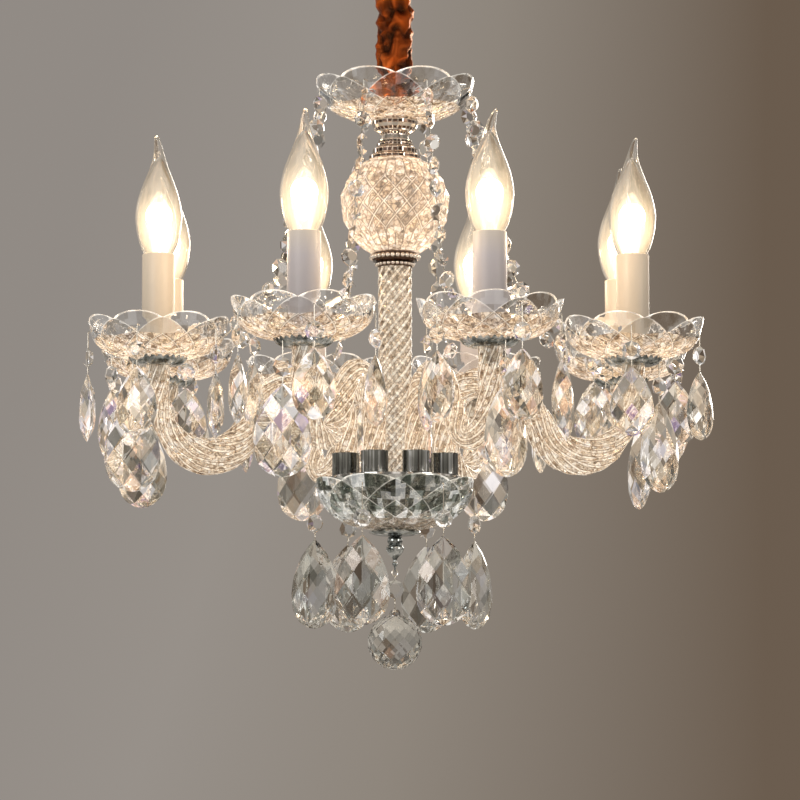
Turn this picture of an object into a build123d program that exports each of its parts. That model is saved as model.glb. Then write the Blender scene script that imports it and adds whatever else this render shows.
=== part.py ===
from build123d import *
import os
from math import acos, atan2, cos, degrees, hypot, pi, radians, sin

os.makedirs("parts", exist_ok=True)

# ------------------------------------------------------------------
# Driving dimensions, mm. The origin is on the ceiling, +Z is up, and
# the side that the sizes were read from faces -Y.
# Heights named h_... are counted up from the top of the arm plate.
# ------------------------------------------------------------------
hub = -412.0  # the arm plate's top face, below the ceiling
arm_count = 8
candle_circle = 185.0  # centre line to each candle
cup_circle = 39.6  # centre line to each arm's cup
arm_toe = 1.86  # each candle leans this many degrees towards its neighbour
wire_r, wire_bend_r = 0.4, 1.0
joint_gap = 0.1

# ceiling fixing
strap_length, strap_width, strap_thick, strap_ear = 104.0, 22.0, 3.0, 13.0
screw_spacing, screw_hole_r = 60.0, 2.6
canopy_r, canopy_wall, canopy_bottom, canopy_mouth_r = 57.0, 1.2, -32.0, 18.0
side_screw_z = -8.0
hook_ring_r, hook_wire_r, hook_shank_r = 7.0, 2.0, 3.0

# hanging loop, chain and its gathered fabric sleeve
eye_ring_r, eye_wire_r, h_eye = 6.5, 1.8, 293.9
link_wire_r, link_inside, link_width, link_count = 1.3, 22.0, 10.6, 3
sleeve_top, h_sleeve_bottom, sleeve_bore_r = -27.0, 284.0, 10.0
sleeve_lobes, sleeve_rings = 9, 11
sleeve_valley_r, sleeve_crest_r = 11.8, 14.3

# centre stack
tube_r, tube_bore_r, slip_r = 5.0, 3.2, 5.2
h_tube_bottom, h_tube_top = -43.6, 278.0
nut_bottoms, nut_r, nut_high = (-6.6, -35.2), 8.5, 5.0
h_column_top, column_r, column_bore_r = 157.8, 12.7, 6.5
h_ring_top, h_urn_top, h_neck_top = 168.9, 238.8, 269.9
h_dish_rim, dish_scallop = 300.0, 5.0
h_bowl_rim, bowl_scallop, h_bowl_bottom = -1.5, 4.0, -38.6
plate_r, plate_thick = 49.5, 1.5
cup_r, cup_wall, h_cup_top = 10.0, 0.8, 16.5

# arm route in its own upright plane: up, over the hump, down, round the bend, up
arm_r, arm_bore_r = 8.75, 5.1
hump_r, h_hump = 34.0, 72.0
bend_r, h_bend = 36.0, 15.5
h_arm_foot, h_arm_top = 1.6, 75.7
stud_r = 4.9

# candle group
h_bobeche_floor, h_bobeche_rim, bobeche_r = 81.2, 110.0, 51.0
scallops, bobeche_scallop = 8, 5.0
candle_r, candle_wall, h_candle_bottom, h_candle_top = 12.0, 1.0, 84.6, 157.6

# crystals: height, width and thickness of each almond
small_almond = (50.0, 31.5, 11.0)
large_almond = (66.0, 40.5, 14.0)
almond_half = (
    (0.05, 0.0), (0.2, -0.1), (0.35, -0.26), (0.45, -0.42), (0.5, -0.6), (0.47, -0.78),
    (0.36, -0.9), (0.14, -0.99),
)  # right half of the outline, as shares of the width and height
almond_core, almond_table = -0.58, 0.55  # the flat front and back, shrunk towards this height
bead_r, bead_thick = 7.0, 7.0
ball_r, h_ball = 20.4, -122.2
h_pin_hole, h_pendant_bead, h_pendant_almond = 100.0, 81.0, 69.5
pin_hole_r = 1.1
pin_inner_circle, pendant_circle = 45.0, 50.9  # a bobeche pin's inner end, and its drop
drill_circle, drill_depth = 40.0, 14.0  # where a bobeche's pin holes begin, and how far they go
h_ruff_bead, h_ruff_almond, ruff_pin_circle = 60.5, 49.0, 18.8
h_ruff_pin_head, pin_head_r = 80.6, 1.4
bobeche_pendants = 5
inner_keep_out = 28.0  # no pendant hangs nearer the arm's own line than this, degrees
bowl_pendants, bowl_first = 6, -174.0
bowl_pin_circle, h_bowl_pin, h_bowl_bead, h_bowl_almond = 59.6, -8.0, -34.5, -46.5
strand_beads_each = 11
strand_lead = 13.0  # from a strand's ends to its first and last bead
strand_dish_circle, strand_bobeche_circle = 54.0, 45.0  # where the end wires hook in

# Plan direction of the first pendant on each bobeche, in degrees from +X, arm by arm.
pendant_phase = (294.0, 264.6, 37.0, 285.4, 326.6, 217.0, 256.0, 279.0)
# Plan direction of each ruff's long pendant, and the way its flat face looks.
ruff_pendant = (303.0, 350.0, 40.0, 69.4, 110.6, 170.0, 200.6, 219.4)
ruff_face = (310.0, 312.0, 20.0, 100.0, 80.0, 250.0, 270.0, 270.0)
# Plan direction that each bowl almond's flat face looks towards.
bowl_face = (-121.0, -92.0, -88.0, -42.0, 70.0, 110.0)

# A bead strand's run from the top dish to a bobeche: radius from the centre line, height.
strand_route = (
    (61.0, 290.0), (62.5, 268.0), (69.0, 240.0), (76.0, 212.0), (83.0, 186.0),
    (89.5, 161.0), (96.0, 142.0), (105.0, 127.0), (118.0, 115.0), (133.2, 100.0),
)


def cup_angle(index):
    """Plan angle of cup `index`, anticlockwise from front right, degrees from +X."""
    return -90.0 + 180.0 / arm_count + 360.0 / arm_count * index


def candle_angle(index):
    """Candles stand a little nearer one neighbour than the other."""
    return cup_angle(index) + (arm_toe if index % 2 else -arm_toe)


def plan(radius, angle):
    """Plan position at `radius` from the centre line."""
    return radius * cos(radians(angle)), radius * sin(radians(angle))


def around_candle(index, radius, angle):
    """Plan position at `radius` and `angle` from candle `index`."""
    x, y = plan(candle_circle, candle_angle(index))
    dx, dy = plan(radius, angle)
    return x + dx, y + dy


def outline(points):
    """Revolve a closed half profile, given as (radius, height above the hub)."""
    with BuildSketch(Plane.XZ) as profile:
        with BuildLine():
            Polyline(*[(r, hub + h) for r, h in points], close=True)
        make_face()
    revolve(profile.sketch, axis=Axis.Z)


def scalloped(radius, rim_height, depth, reach):
    """Cut the rim down to a row of crowned scallops between cusps."""
    half = radius * sin(pi / scallops)
    for number in range(scallops):
        out = plan(1.0, 360.0 / scallops * number)
        base = Plane(
            origin=(out[0] * (radius - reach), out[1] * (radius - reach), hub + rim_height),
            x_dir=(-out[1], out[0], 0),
            z_dir=(out[0], out[1], 0),
        )
        with BuildSketch(base) as notch:
            with BuildLine():
                ThreePointArc((-half, 0.01), (-half * 0.45, -depth * 0.24), (0, -depth))
                ThreePointArc((0, -depth), (half * 0.45, -depth * 0.24), (half, 0.01))
                Line((half, 0.01), (half, depth))
                Line((half, depth), (-half, depth))
                Line((-half, depth), (-half, 0.01))
            make_face()
        extrude(notch.sketch, amount=reach + 3.0, mode=Mode.SUBTRACT)


def facing(x, y, z, angle):
    """An upright plane whose normal looks along `angle` in plan."""
    nx, ny = plan(1.0, angle)
    return Plane(origin=(x, y, z), x_dir=(-ny, nx, 0), z_dir=(nx, ny, 0))


def hang_almond(x, y, z, angle, size):
    """A faceted tear drop whose tip is at the point and whose belly hangs below it."""
    height, width, thick = size
    right = [(across * width, down * height) for across, down in almond_half]
    ring = right + [(-across, down) for across, down in reversed(right)]
    core = almond_core * height
    sections = []
    for side, scale in ((-0.5, almond_table), (0, 1.0), (0.5, almond_table)):
        with BuildSketch(facing(x, y, z, angle).offset(side * thick)) as slice_sketch:
            Polygon(*[(px * scale, core + (py - core) * scale) for px, py in ring], align=None)
        sections.append(slice_sketch.sketch)
    loft(sections, ruled=True)


def hang_bead(x, y, z, angle):
    """A bevelled octagon bead centred on the point."""
    with BuildSketch(facing(x, y, z, angle)) as octagon:
        RegularPolygon(bead_r, 8, major_radius=True)
    extrude(octagon.sketch, amount=bead_thick / 2, both=True, taper=40)


def wire(start, end):
    """A straight piece of round wire."""
    run = Vector(*end) - Vector(*start)
    with BuildSketch(Plane(origin=start, z_dir=run.normalized())) as section:
        Circle(wire_r)
    extrude(section.sketch, amount=run.length)


def bent_wire(start, corner, end):
    """A round wire with one small bend, as pliers leave it."""
    with BuildLine() as bend:
        FilletPolyline(start, corner, end, radius=wire_bend_r)
    with BuildSketch(Plane(origin=start, z_dir=bend.line % 0)) as section:
        Circle(wire_r)
    sweep(section.sketch, path=bend.line)


# ------------------------------------------------------------------
# Ceiling strap with down-turned ears, the canopy and its side screws
# ------------------------------------------------------------------
with BuildPart() as ceiling_strap:
    with BuildSketch(Plane.XY):
        Rectangle(strap_length, strap_width)
    extrude(amount=-strap_thick)
    with BuildSketch(Plane.XY):
        with Locations((strap_length / 2 - 1.5, 0), (1.5 - strap_length / 2, 0)):
            Rectangle(3.0, strap_width)
    extrude(amount=-strap_ear)
    with BuildSketch(Plane.XY):
        Circle(8.0)
    extrude(amount=-12.0)
    with BuildSketch(Plane.XY):
        with Locations((screw_spacing / 2, 0), (-screw_spacing / 2, 0)):
            Circle(screw_hole_r)
    extrude(amount=-strap_thick, mode=Mode.SUBTRACT)
    with BuildSketch(Plane.XY.offset(-2.5)):
        Circle(hook_shank_r + 0.05)
    extrude(amount=-20, mode=Mode.SUBTRACT)
    with BuildSketch(Plane.YZ.offset(strap_length / 2 - 6.0)):
        with Locations((0, side_screw_z)):
            Circle(1.7)
    extrude(amount=10.0, mode=Mode.SUBTRACT)
    with BuildSketch(Plane.YZ.offset(6.0 - strap_length / 2)):
        with Locations((0, side_screw_z)):
            Circle(1.7)
    extrude(amount=-10.0, mode=Mode.SUBTRACT)
ceiling_strap.part.label = "ceiling_strap"
export_step(ceiling_strap.part, "parts/ceiling_strap.step")

with BuildPart() as ceiling_canopy:
    with BuildSketch(Plane.XZ):
        with BuildLine():
            side = Line((canopy_r, 0), (canopy_r, -17))
            shoulder = ThreePointArc(side @ 1, (50.5, -26.6), (34, canopy_bottom + 1))
            foot = Line(shoulder @ 1, (canopy_mouth_r, canopy_bottom))
            lip = Line(foot @ 1, (canopy_mouth_r, canopy_bottom + canopy_wall))
            inner_foot = Line(lip @ 1, (34, canopy_bottom + 1 + canopy_wall))
            inner = ThreePointArc(inner_foot @ 1, (49.7, -25.6), (canopy_r - canopy_wall, -17))
            inner_side = Line(inner @ 1, (canopy_r - canopy_wall, 0))
            Line(inner_side @ 1, side @ 0)
        make_face()
    revolve(axis=Axis.Z)
    with BuildSketch(Plane.YZ.offset(-canopy_r - 5)):
        with Locations((0, side_screw_z)):
            Circle(1.9)
    extrude(amount=2 * canopy_r + 10, mode=Mode.SUBTRACT)
ceiling_canopy.part.label = "ceiling_canopy"
export_step(ceiling_canopy.part, "parts/ceiling_canopy.step")

with BuildPart() as canopy_screws:
    for side in (1, -1):
        inner_x = strap_length / 2 - 5.0
        head_x = canopy_r + 0.2
        with BuildSketch(Plane.YZ.offset(side * inner_x)):
            with Locations((0, side_screw_z)):
                Circle(1.6)
        extrude(amount=side * (head_x - inner_x))
        with BuildSketch(Plane.YZ.offset(side * head_x)):
            with Locations((0, side_screw_z)):
                Circle(4.0)
        extrude(amount=side * 3.5)
canopy_screws.part.label = "canopy_screws"
export_step(canopy_screws.part, "parts/canopy_screws.step")

# ------------------------------------------------------------------
# Chain links, worked out upwards from the hanging loop's eye, and the
# hook that they hang on. The links turn square to each other.
# ------------------------------------------------------------------
eye_z = hub + h_eye
eye_inner_top = eye_z + eye_ring_r - eye_wire_r
last_link_seat = eye_inner_top - joint_gap
hook_seat = last_link_seat + link_count * link_inside - link_count * joint_gap
hook_z = hook_seat - hook_wire_r + hook_ring_r
chain_pivot_z = hook_seat - hook_wire_r
body_pivot_z = last_link_seat - link_wire_r
link_bend = link_width / 2 - link_wire_r
link_straight = link_inside / 2 + link_wire_r - link_bend

with BuildPart() as chain:
    for number in range(link_count):
        top_inside = hook_seat + joint_gap - number * (link_inside - joint_gap)
        middle = top_inside - link_inside / 2
        across = Plane.YZ if number % 2 == 0 else Plane.XZ
        link_plane = Plane(origin=(0, 0, middle), x_dir=across.x_dir, z_dir=across.z_dir)
        with BuildLine(link_plane):
            right = Line((link_bend, 0), (link_bend, link_straight))
            over = ThreePointArc(right @ 1, (0, link_straight + link_bend), (-link_bend, link_straight))
            left = Line(over @ 1, (-link_bend, -link_straight))
            under = ThreePointArc(left @ 1, (0, -link_straight - link_bend), (link_bend, -link_straight))
            Line(under @ 1, right @ 0)
        with BuildSketch(Plane(origin=right @ 0, z_dir=(0, 0, 1))):
            Circle(link_wire_r)
        sweep()
chain.part.label = "chain"
export_step(chain.part, "parts/chain.step")

with BuildPart() as ceiling_hook:
    with Locations(Location((0, 0, hook_z), (90, 0, 0))):
        Torus(hook_ring_r, hook_wire_r)
    with BuildSketch(Plane.XY.offset(-2.7)):
        Circle(hook_shank_r)
    extrude(amount=hook_z + hook_ring_r + 2.7)
ceiling_hook.part.label = "ceiling_hook"
export_step(ceiling_hook.part, "parts/ceiling_hook.step")

# ------------------------------------------------------------------
# Gathered fabric sleeve over the chain: lobed rings, each twisted and
# swollen differently, so that the main folds run unevenly down it
# ------------------------------------------------------------------
with BuildPart() as chain_sleeve:
    low = hub + h_sleeve_bottom
    for ring in range(sleeve_rings):
        height = low + (sleeve_top - low) * ring / (sleeve_rings - 1)
        swell = 0.7 * sin(1.9 * ring + 0.6)
        twist = 15.0 * sin(0.8 * ring) + 5.0 * ring
        with BuildSketch(Plane.XY.offset(height)):
            with BuildLine():
                for lobe in range(sleeve_lobes):
                    step = 360.0 / sleeve_lobes
                    crest = sleeve_crest_r + swell + 0.5 * sin(2.3 * lobe + 1.3 * ring)
                    start = plan(sleeve_valley_r, twist + step * lobe)
                    peak = plan(crest, twist + step * (lobe + 0.5))
                    end = plan(sleeve_valley_r, twist + step * (lobe + 1))
                    ThreePointArc(start, peak, end)
            make_face()
    loft(ruled=True)
    with BuildSketch(Plane.XY.offset(low)):
        Circle(sleeve_bore_r)
    extrude(amount=sleeve_top - low, mode=Mode.SUBTRACT)
chain_sleeve.part.label = "chain_sleeve"
export_step(chain_sleeve.part, "parts/chain_sleeve.step")

# ------------------------------------------------------------------
# Hanging loop, the centre tube that clamps the stack, and its nuts
# ------------------------------------------------------------------
with BuildPart() as hanging_loop:
    outline([(0, 274.1), (9.0, 274.1), (9.0, 279.5), (7.5, 281.0), (3.4, 281.0), (3.4, 287.0), (0, 287.0)])
    with Locations(Location((0, 0, eye_z), (90, 0, 0))):
        Torus(eye_ring_r, eye_wire_r)
    with BuildSketch(Plane.XY.offset(hub + 274.0)):
        Circle(tube_r + 0.02)
    extrude(amount=4.5, mode=Mode.SUBTRACT)
hanging_loop.part.label = "hanging_loop"
export_step(hanging_loop.part, "parts/hanging_loop.step")

with BuildPart() as centre_tube:
    with BuildSketch(Plane.XY.offset(hub + h_tube_bottom)):
        Circle(tube_r)
        Circle(tube_bore_r, mode=Mode.SUBTRACT)
    extrude(amount=h_tube_top - h_tube_bottom)
centre_tube.part.label = "centre_tube"
export_step(centre_tube.part, "parts/centre_tube.step")

with BuildPart() as tube_nuts:
    for nut_bottom in nut_bottoms:
        with BuildSketch(Plane.XY.offset(hub + nut_bottom)):
            RegularPolygon(nut_r, 6)
            Circle(tube_r + 0.02, mode=Mode.SUBTRACT)
        extrude(amount=nut_high)
tube_nuts.part.label = "tube_nuts"
export_step(tube_nuts.part, "parts/tube_nuts.step")

# ------------------------------------------------------------------
# Centre stack: column, collar ring, urn, neck pedestal
# ------------------------------------------------------------------
with BuildPart() as column:
    with BuildSketch(Plane.XY.offset(hub + 0.1)):
        Circle(column_r)
        Circle(column_bore_r, mode=Mode.SUBTRACT)
    extrude(amount=h_column_top - 0.1)
column.part.label = "column"
export_step(column.part, "parts/column.step")

with BuildPart() as collar_ring:
    outline([
        (slip_r, 157.9), (13.4, 157.9), (14.6, 159.8), (13.8, 161.8), (16.5, 162.6),
        (19.0, 164.6), (18.6, 167.2), (16.8, h_ring_top), (slip_r, h_ring_top),
    ])
collar_ring.part.label = "collar_ring"
export_step(collar_ring.part, "parts/collar_ring.step")

with BuildPart() as urn:
    with BuildSketch(Plane.XZ):
        with BuildLine():
            base = Line((slip_r, hub + 169.0), (18.7, hub + 169.0))
            belly = ThreePointArc(base @ 1, (35.6, hub + 186.5), (39.7, hub + 206.0))
            upper = ThreePointArc(belly @ 1, (37.6, hub + 218.0), (31.6, hub + 228.0))
            neck = ThreePointArc(upper @ 1, (27.8, hub + 233.4), (22.9, hub + h_urn_top))
            lid = Line(neck @ 1, (slip_r, hub + h_urn_top))
            Line(lid @ 1, base @ 0)
        make_face()
    revolve(axis=Axis.Z)
    with BuildSketch(Plane.XZ):
        with BuildLine():
            inner_base = Line((slip_r, hub + 174.0), (17.0, hub + 174.0))
            inner_belly = ThreePointArc(inner_base @ 1, (31.4, hub + 188.8), (35.2, hub + 206.0))
            inner_upper = ThreePointArc(inner_belly @ 1, (31.6, hub + 219.0), (18.0, hub + 233.6))
            inner_lid = Line(inner_upper @ 1, (slip_r, hub + 233.6))
            Line(inner_lid @ 1, inner_base @ 0)
        make_face()
    revolve(axis=Axis.Z, mode=Mode.SUBTRACT)
urn.part.label = "urn"
export_step(urn.part, "parts/urn.step")

with BuildPart() as neck_pedestal:
    outline([
        (slip_r, 238.9), (18.7, 238.9), (18.9, 240.6), (18.3, 242.3), (15.4, 242.8), (15.9, 245.4),
        (15.2, 248.0), (12.4, 249.4), (12.9, 251.6), (12.0, 253.8), (10.4, 255.6), (10.2, 257.6),
        (12.2, 260.0), (15.6, 263.0), (17.0, 266.4), (16.4, h_neck_top), (slip_r, h_neck_top),
    ])
neck_pedestal.part.label = "neck_pedestal"
export_step(neck_pedestal.part, "parts/neck_pedestal.step")

# ------------------------------------------------------------------
# Top dish: a scalloped bowl with a hole for each bead strand
# ------------------------------------------------------------------
with BuildPart() as top_dish:
    outline([
        (slip_r, 270.0), (20.0, 270.0), (33.0, 271.6), (44.0, 275.6), (52.0, 281.6), (57.0, 289.6),
        (59.6, h_dish_rim), (56.4, h_dish_rim), (54.0, 290.8), (49.8, 284.4), (42.6, 279.0),
        (32.2, 275.2), (19.6, 273.8), (slip_r, 273.8),
    ])
    scalloped(59.6, h_dish_rim, dish_scallop, 8.0)
    for index in range(arm_count):
        side_x, side_y = plan(50.0, cup_angle(index))
        with BuildSketch(facing(side_x, side_y, hub + 290.0, cup_angle(index))):
            Circle(1.2)
        extrude(amount=drill_depth, mode=Mode.SUBTRACT)
top_dish.part.label = "top_dish"
export_step(top_dish.part, "parts/top_dish.step")

# ------------------------------------------------------------------
# Arm plate with eight cups and studs, and the spun pan below it
# ------------------------------------------------------------------
cup_places = [plan(cup_circle, cup_angle(index)) for index in range(arm_count)]

with BuildPart() as arm_plate:
    with BuildSketch(Plane.XY.offset(hub - plate_thick)):
        Circle(plate_r)
        Circle(slip_r, mode=Mode.SUBTRACT)
        with Locations(*cup_places):
            Circle(3.1, mode=Mode.SUBTRACT)
    extrude(amount=plate_thick)
arm_plate.part.label = "arm_plate"
export_step(arm_plate.part, "parts/arm_plate.step")

with BuildPart() as arm_pan:
    outline([
        (slip_r, -18.2), (20.0, -17.6), (32.0, -15.0), (42.0, -10.2), (49.5, -1.6), (48.2, -1.6),
        (41.2, -9.2), (31.4, -13.8), (19.8, -16.4), (slip_r, -17.0),
    ])
arm_pan.part.label = "arm_pan"
export_step(arm_pan.part, "parts/arm_pan.step")

with BuildPart() as arm_cups:
    with BuildSketch(Plane.XY.offset(hub)):
        with Locations(*cup_places):
            Circle(cup_r)
    extrude(amount=h_cup_top)
    with BuildSketch(Plane.XY.offset(hub + 1.2)):
        with Locations(*cup_places):
            Circle(cup_r - cup_wall)
    extrude(amount=h_cup_top, mode=Mode.SUBTRACT)
    with BuildSketch(Plane.XY.offset(hub - 1.0)):
        with Locations(*cup_places):
            Circle(3.1)
    extrude(amount=5.0, mode=Mode.SUBTRACT)
arm_cups.part.label = "arm_cups"
export_step(arm_cups.part, "parts/arm_cups.step")

with BuildPart() as arm_studs:
    for low, high, radius in ((-5.2, -1.6, 4.6), (-1.6, 1.3, 2.9), (1.3, 14.0, stud_r)):
        with BuildSketch(Plane.XY.offset(hub + low)):
            with Locations(*cup_places):
                Circle(radius)
        extrude(amount=high - low)
arm_studs.part.label = "arm_studs"
export_step(arm_studs.part, "parts/arm_studs.step")

# ------------------------------------------------------------------
# Bottom bowl, its cap, and the finial with the eye that the drop hangs on
# ------------------------------------------------------------------
bowl_angles = [bowl_first + 360.0 / bowl_pendants * number for number in range(bowl_pendants)]

with BuildPart() as bottom_bowl:
    outline([
        (slip_r, h_bowl_bottom), (20.0, -38.2), (34.0, -35.0), (45.5, -28.5), (53.2, -20.0),
        (57.6, -10.0), (58.7, h_bowl_rim), (55.6, h_bowl_rim), (54.6, -9.4), (50.6, -18.2),
        (43.7, -25.9), (33.0, -31.9), (19.6, -35.2), (slip_r, -35.4),
    ])
    scalloped(58.7, h_bowl_rim, bowl_scallop, 8.0)
    for angle in bowl_angles:
        side_x, side_y = plan(50.0, angle)
        with BuildSketch(facing(side_x, side_y, hub + h_bowl_pin, angle)):
            Circle(2.3)
        extrude(amount=drill_depth, mode=Mode.SUBTRACT)
bottom_bowl.part.label = "bottom_bowl"
export_step(bottom_bowl.part, "parts/bottom_bowl.step")

with BuildPart() as bottom_cap:
    outline([(slip_r, -43.6), (9.0, -43.6), (18.6, -41.6), (19.2, -40.4), (16.0, -38.7), (slip_r, -38.7)])
bottom_cap.part.label = "bottom_cap"
export_step(bottom_cap.part, "parts/bottom_cap.step")

drop_eye_r, drop_eye_wire, h_drop_eye = 1.8, 0.6, -68.0
drop_pivot_z = hub + h_drop_eye - drop_eye_r
with BuildPart() as finial:
    outline([
        (0, -66.4), (1.6, -65.8), (2.1, -64.2), (1.5, -61.6), (2.4, -59.4), (4.6, -57.0), (6.4, -53.6),
        (6.4, -51.2), (5.2, -49.8), (5.3, -45.2), (4.2, -43.7), (3.0, -43.7), (3.0, -34.0), (0, -34.0),
    ])
    with Locations(Location((0, 0, hub + h_drop_eye), (0, 90, 0))):
        Torus(drop_eye_r, drop_eye_wire)
finial.part.label = "finial"
export_step(finial.part, "parts/finial.step")

# ------------------------------------------------------------------
# Ball drop: a small ring through the finial's eye, a bead and the ball
# ------------------------------------------------------------------
with BuildPart() as ball_drop:
    ring_r = 2.2
    ring_z = drop_pivot_z + drop_eye_wire + 0.05 + wire_r - ring_r
    with Locations(Location((0, 0, ring_z), (90, 0, 0))):
        Torus(ring_r, wire_r)
    wire((0, 0, ring_z - ring_r), (0, 0, hub - 77.0))
    hang_bead(0, 0, hub - 82.8, -90.0)
    wire((0, 0, hub - 88.6), (0, 0, hub - 98.0))
    with BuildSketch(Plane.XY.offset(hub - 103.0)):
        Circle(4.0)
    extrude(amount=5.5)
    with Locations((0, 0, hub + h_ball)):
        Sphere(ball_r)
ball_drop.part.label = "ball_drop"
export_step(ball_drop.part, "parts/ball_drop.step")

# ------------------------------------------------------------------
# Bowl pendants: a pin through the rim hole, a bead and a large almond
# ------------------------------------------------------------------
for number, angle in enumerate(bowl_angles):
    pin_x, pin_y = plan(bowl_pin_circle, angle)
    in_x, in_y = plan(bowl_pin_circle - 4.6, angle)
    with BuildPart() as bowl_pendant:
        bent_wire(
            (in_x, in_y, hub + h_bowl_pin),
            (pin_x, pin_y, hub + h_bowl_pin),
            (pin_x, pin_y, hub + h_bowl_bead + bead_r - 0.5),
        )
        hang_bead(pin_x, pin_y, hub + h_bowl_bead, bowl_face[number])
        wire((pin_x, pin_y, hub + h_bowl_bead - bead_r + 0.5), (pin_x, pin_y, hub + h_bowl_almond - 1.5))
        hang_almond(pin_x, pin_y, hub + h_bowl_almond, bowl_face[number], large_almond)
    bowl_pendant.part.label = f"bowl_pendant_{number + 1}"
    export_step(bowl_pendant.part, f"parts/bowl_pendant_{number + 1}.step")

# ------------------------------------------------------------------
# Arms: one route for all, from the cup up over the hump and round the bend
# ------------------------------------------------------------------
cup_x, cup_y = plan(cup_circle, cup_angle(0))
candle_x, candle_y = plan(candle_circle, candle_angle(0))
arm_reach = hypot(candle_x - cup_x, candle_y - cup_y)
hump_z = h_hump - hump_r
bend_x, bend_z = arm_reach - bend_r, h_bend + bend_r
centres = hypot(bend_x - hump_r, bend_z - hump_z)
lean = degrees(atan2(bend_z - hump_z, bend_x - hump_r)) + degrees(acos((hump_r + bend_r) / centres))
leave_x, leave_z = plan(hump_r, lean)
meet_x, meet_z = plan(bend_r, lean)
crown_x, crown_z = plan(hump_r, (180.0 + lean) / 2)
low_x, low_z = plan(bend_r, (180.0 + lean + 360.0) / 2)

with BuildPart() as arm_blank:
    for radius, mode in ((arm_r, Mode.ADD), (arm_bore_r, Mode.SUBTRACT)):
        with BuildLine(Plane.XZ):
            rise = Line((0, h_arm_foot), (0, hump_z))
            over = ThreePointArc(
                rise @ 1, (hump_r + crown_x, hump_z + crown_z), (hump_r + leave_x, hump_z + leave_z)
            )
            slope = Line(over @ 1, (bend_x - meet_x, bend_z - meet_z))
            under = ThreePointArc(slope @ 1, (bend_x + low_x, bend_z + low_z), (arm_reach, bend_z))
            Line(under @ 1, (arm_reach, h_arm_top))
        with BuildSketch(Plane.XY.offset(h_arm_foot)):
            Circle(radius)
        sweep(mode=mode)

for index in range(arm_count):
    from_x, from_y = plan(cup_circle, cup_angle(index))
    to_x, to_y = plan(candle_circle, candle_angle(index))
    heading = degrees(atan2(to_y - from_y, to_x - from_x))
    with BuildPart() as arm:
        with Locations(Location((from_x, from_y, hub), (0, 0, heading))):
            add(arm_blank.part)
    arm.part.label = f"arm_{index + 1}"
    export_step(arm.part, f"parts/arm_{index + 1}.step")

# ------------------------------------------------------------------
# Ruffs under the bobeches, each with a hole for its long pendant
# ------------------------------------------------------------------
with BuildPart() as bobeche_ruffs:
    for index in range(arm_count):
        x, y = plan(candle_circle, candle_angle(index))
        with BuildSketch(Plane(origin=(x, y, 0), x_dir=(1, 0, 0), z_dir=(0, -1, 0))):
            with BuildLine():
                Polyline(
                    (slip_r, hub + 75.8), (12.0, hub + 75.8), (18.0, hub + 77.8), (21.0, hub + 80.9),
                    (17.4, hub + 79.2), (12.0, hub + 77.4), (9.0, hub + 77.4), (9.0, hub + 81.1),
                    (slip_r, hub + 81.1), close=True,
                )
            make_face()
        revolve(axis=Axis((x, y, 0), (0, 0, 1)))
        hole_x, hole_y = around_candle(index, ruff_pin_circle, ruff_pendant[index])
        with BuildSketch(Plane.XY.offset(hub + 76.0)):
            with Locations((hole_x, hole_y)):
                Circle(0.9)
        extrude(amount=6.0, mode=Mode.SUBTRACT)
bobeche_ruffs.part.label = "bobeche_ruffs"
export_step(bobeche_ruffs.part, "parts/bobeche_ruffs.step")

# ------------------------------------------------------------------
# Bobeches: scalloped dishes drilled where their pendants and strand hang
# ------------------------------------------------------------------
with BuildPart() as bobeche_blank:
    outline([
        (slip_r, h_bobeche_floor), (19.0, h_bobeche_floor), (28.0, 82.4), (37.0, 85.6), (43.6, 90.4),
        (47.4, 96.0), (49.6, 102.6), (bobeche_r, h_bobeche_rim), (47.9, h_bobeche_rim), (46.6, 103.4),
        (44.6, 97.4), (41.4, 92.6), (35.8, 88.5), (27.4, 85.6), (18.8, 84.4), (slip_r, 84.4),
    ])
    scalloped(bobeche_r, h_bobeche_rim, bobeche_scallop, 8.0)


def inward(index):
    """Plan direction from candle `index` to the centre line."""
    return candle_angle(index) + 180.0


def pendant_angles(index):
    """Where the small pendants hang on bobeche `index`, clear of its own arm."""
    angles = []
    for number in range(bobeche_pendants):
        angle = pendant_phase[index] + 360.0 / bobeche_pendants * number
        apart = abs((angle - inward(index) + 180.0) % 360.0 - 180.0)
        if apart > inner_keep_out:
            angles.append(angle)
    return angles


for index in range(arm_count):
    x, y = plan(candle_circle, candle_angle(index))
    with BuildPart() as bobeche:
        with Locations(Location((x, y, 0), (0, 0, pendant_phase[index] + 11.0 * index))):
            add(bobeche_blank.part)
        for angle in pendant_angles(index) + [inward(index)]:
            hole_x, hole_y = around_candle(index, drill_circle, angle)
            with BuildSketch(facing(hole_x, hole_y, hub + h_pin_hole, angle)):
                Circle(pin_hole_r)
            extrude(amount=drill_depth, mode=Mode.SUBTRACT)
    bobeche.part.label = f"bobeche_{index + 1}"
    export_step(bobeche.part, f"parts/bobeche_{index + 1}.step")

# ------------------------------------------------------------------
# Candle sleeves and the lampholders inside them
# ------------------------------------------------------------------
candle_places = [plan(candle_circle, candle_angle(index)) for index in range(arm_count)]

with BuildPart() as candle_sleeves:
    with BuildSketch(Plane.XY.offset(hub + h_candle_bottom)):
        with Locations(*candle_places):
            Circle(candle_r)
        with Locations(*candle_places):
            Circle(candle_r - candle_wall, mode=Mode.SUBTRACT)
    extrude(amount=h_candle_top - h_candle_bottom)
candle_sleeves.part.label = "candle_sleeves"
export_step(candle_sleeves.part, "parts/candle_sleeves.step")

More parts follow.
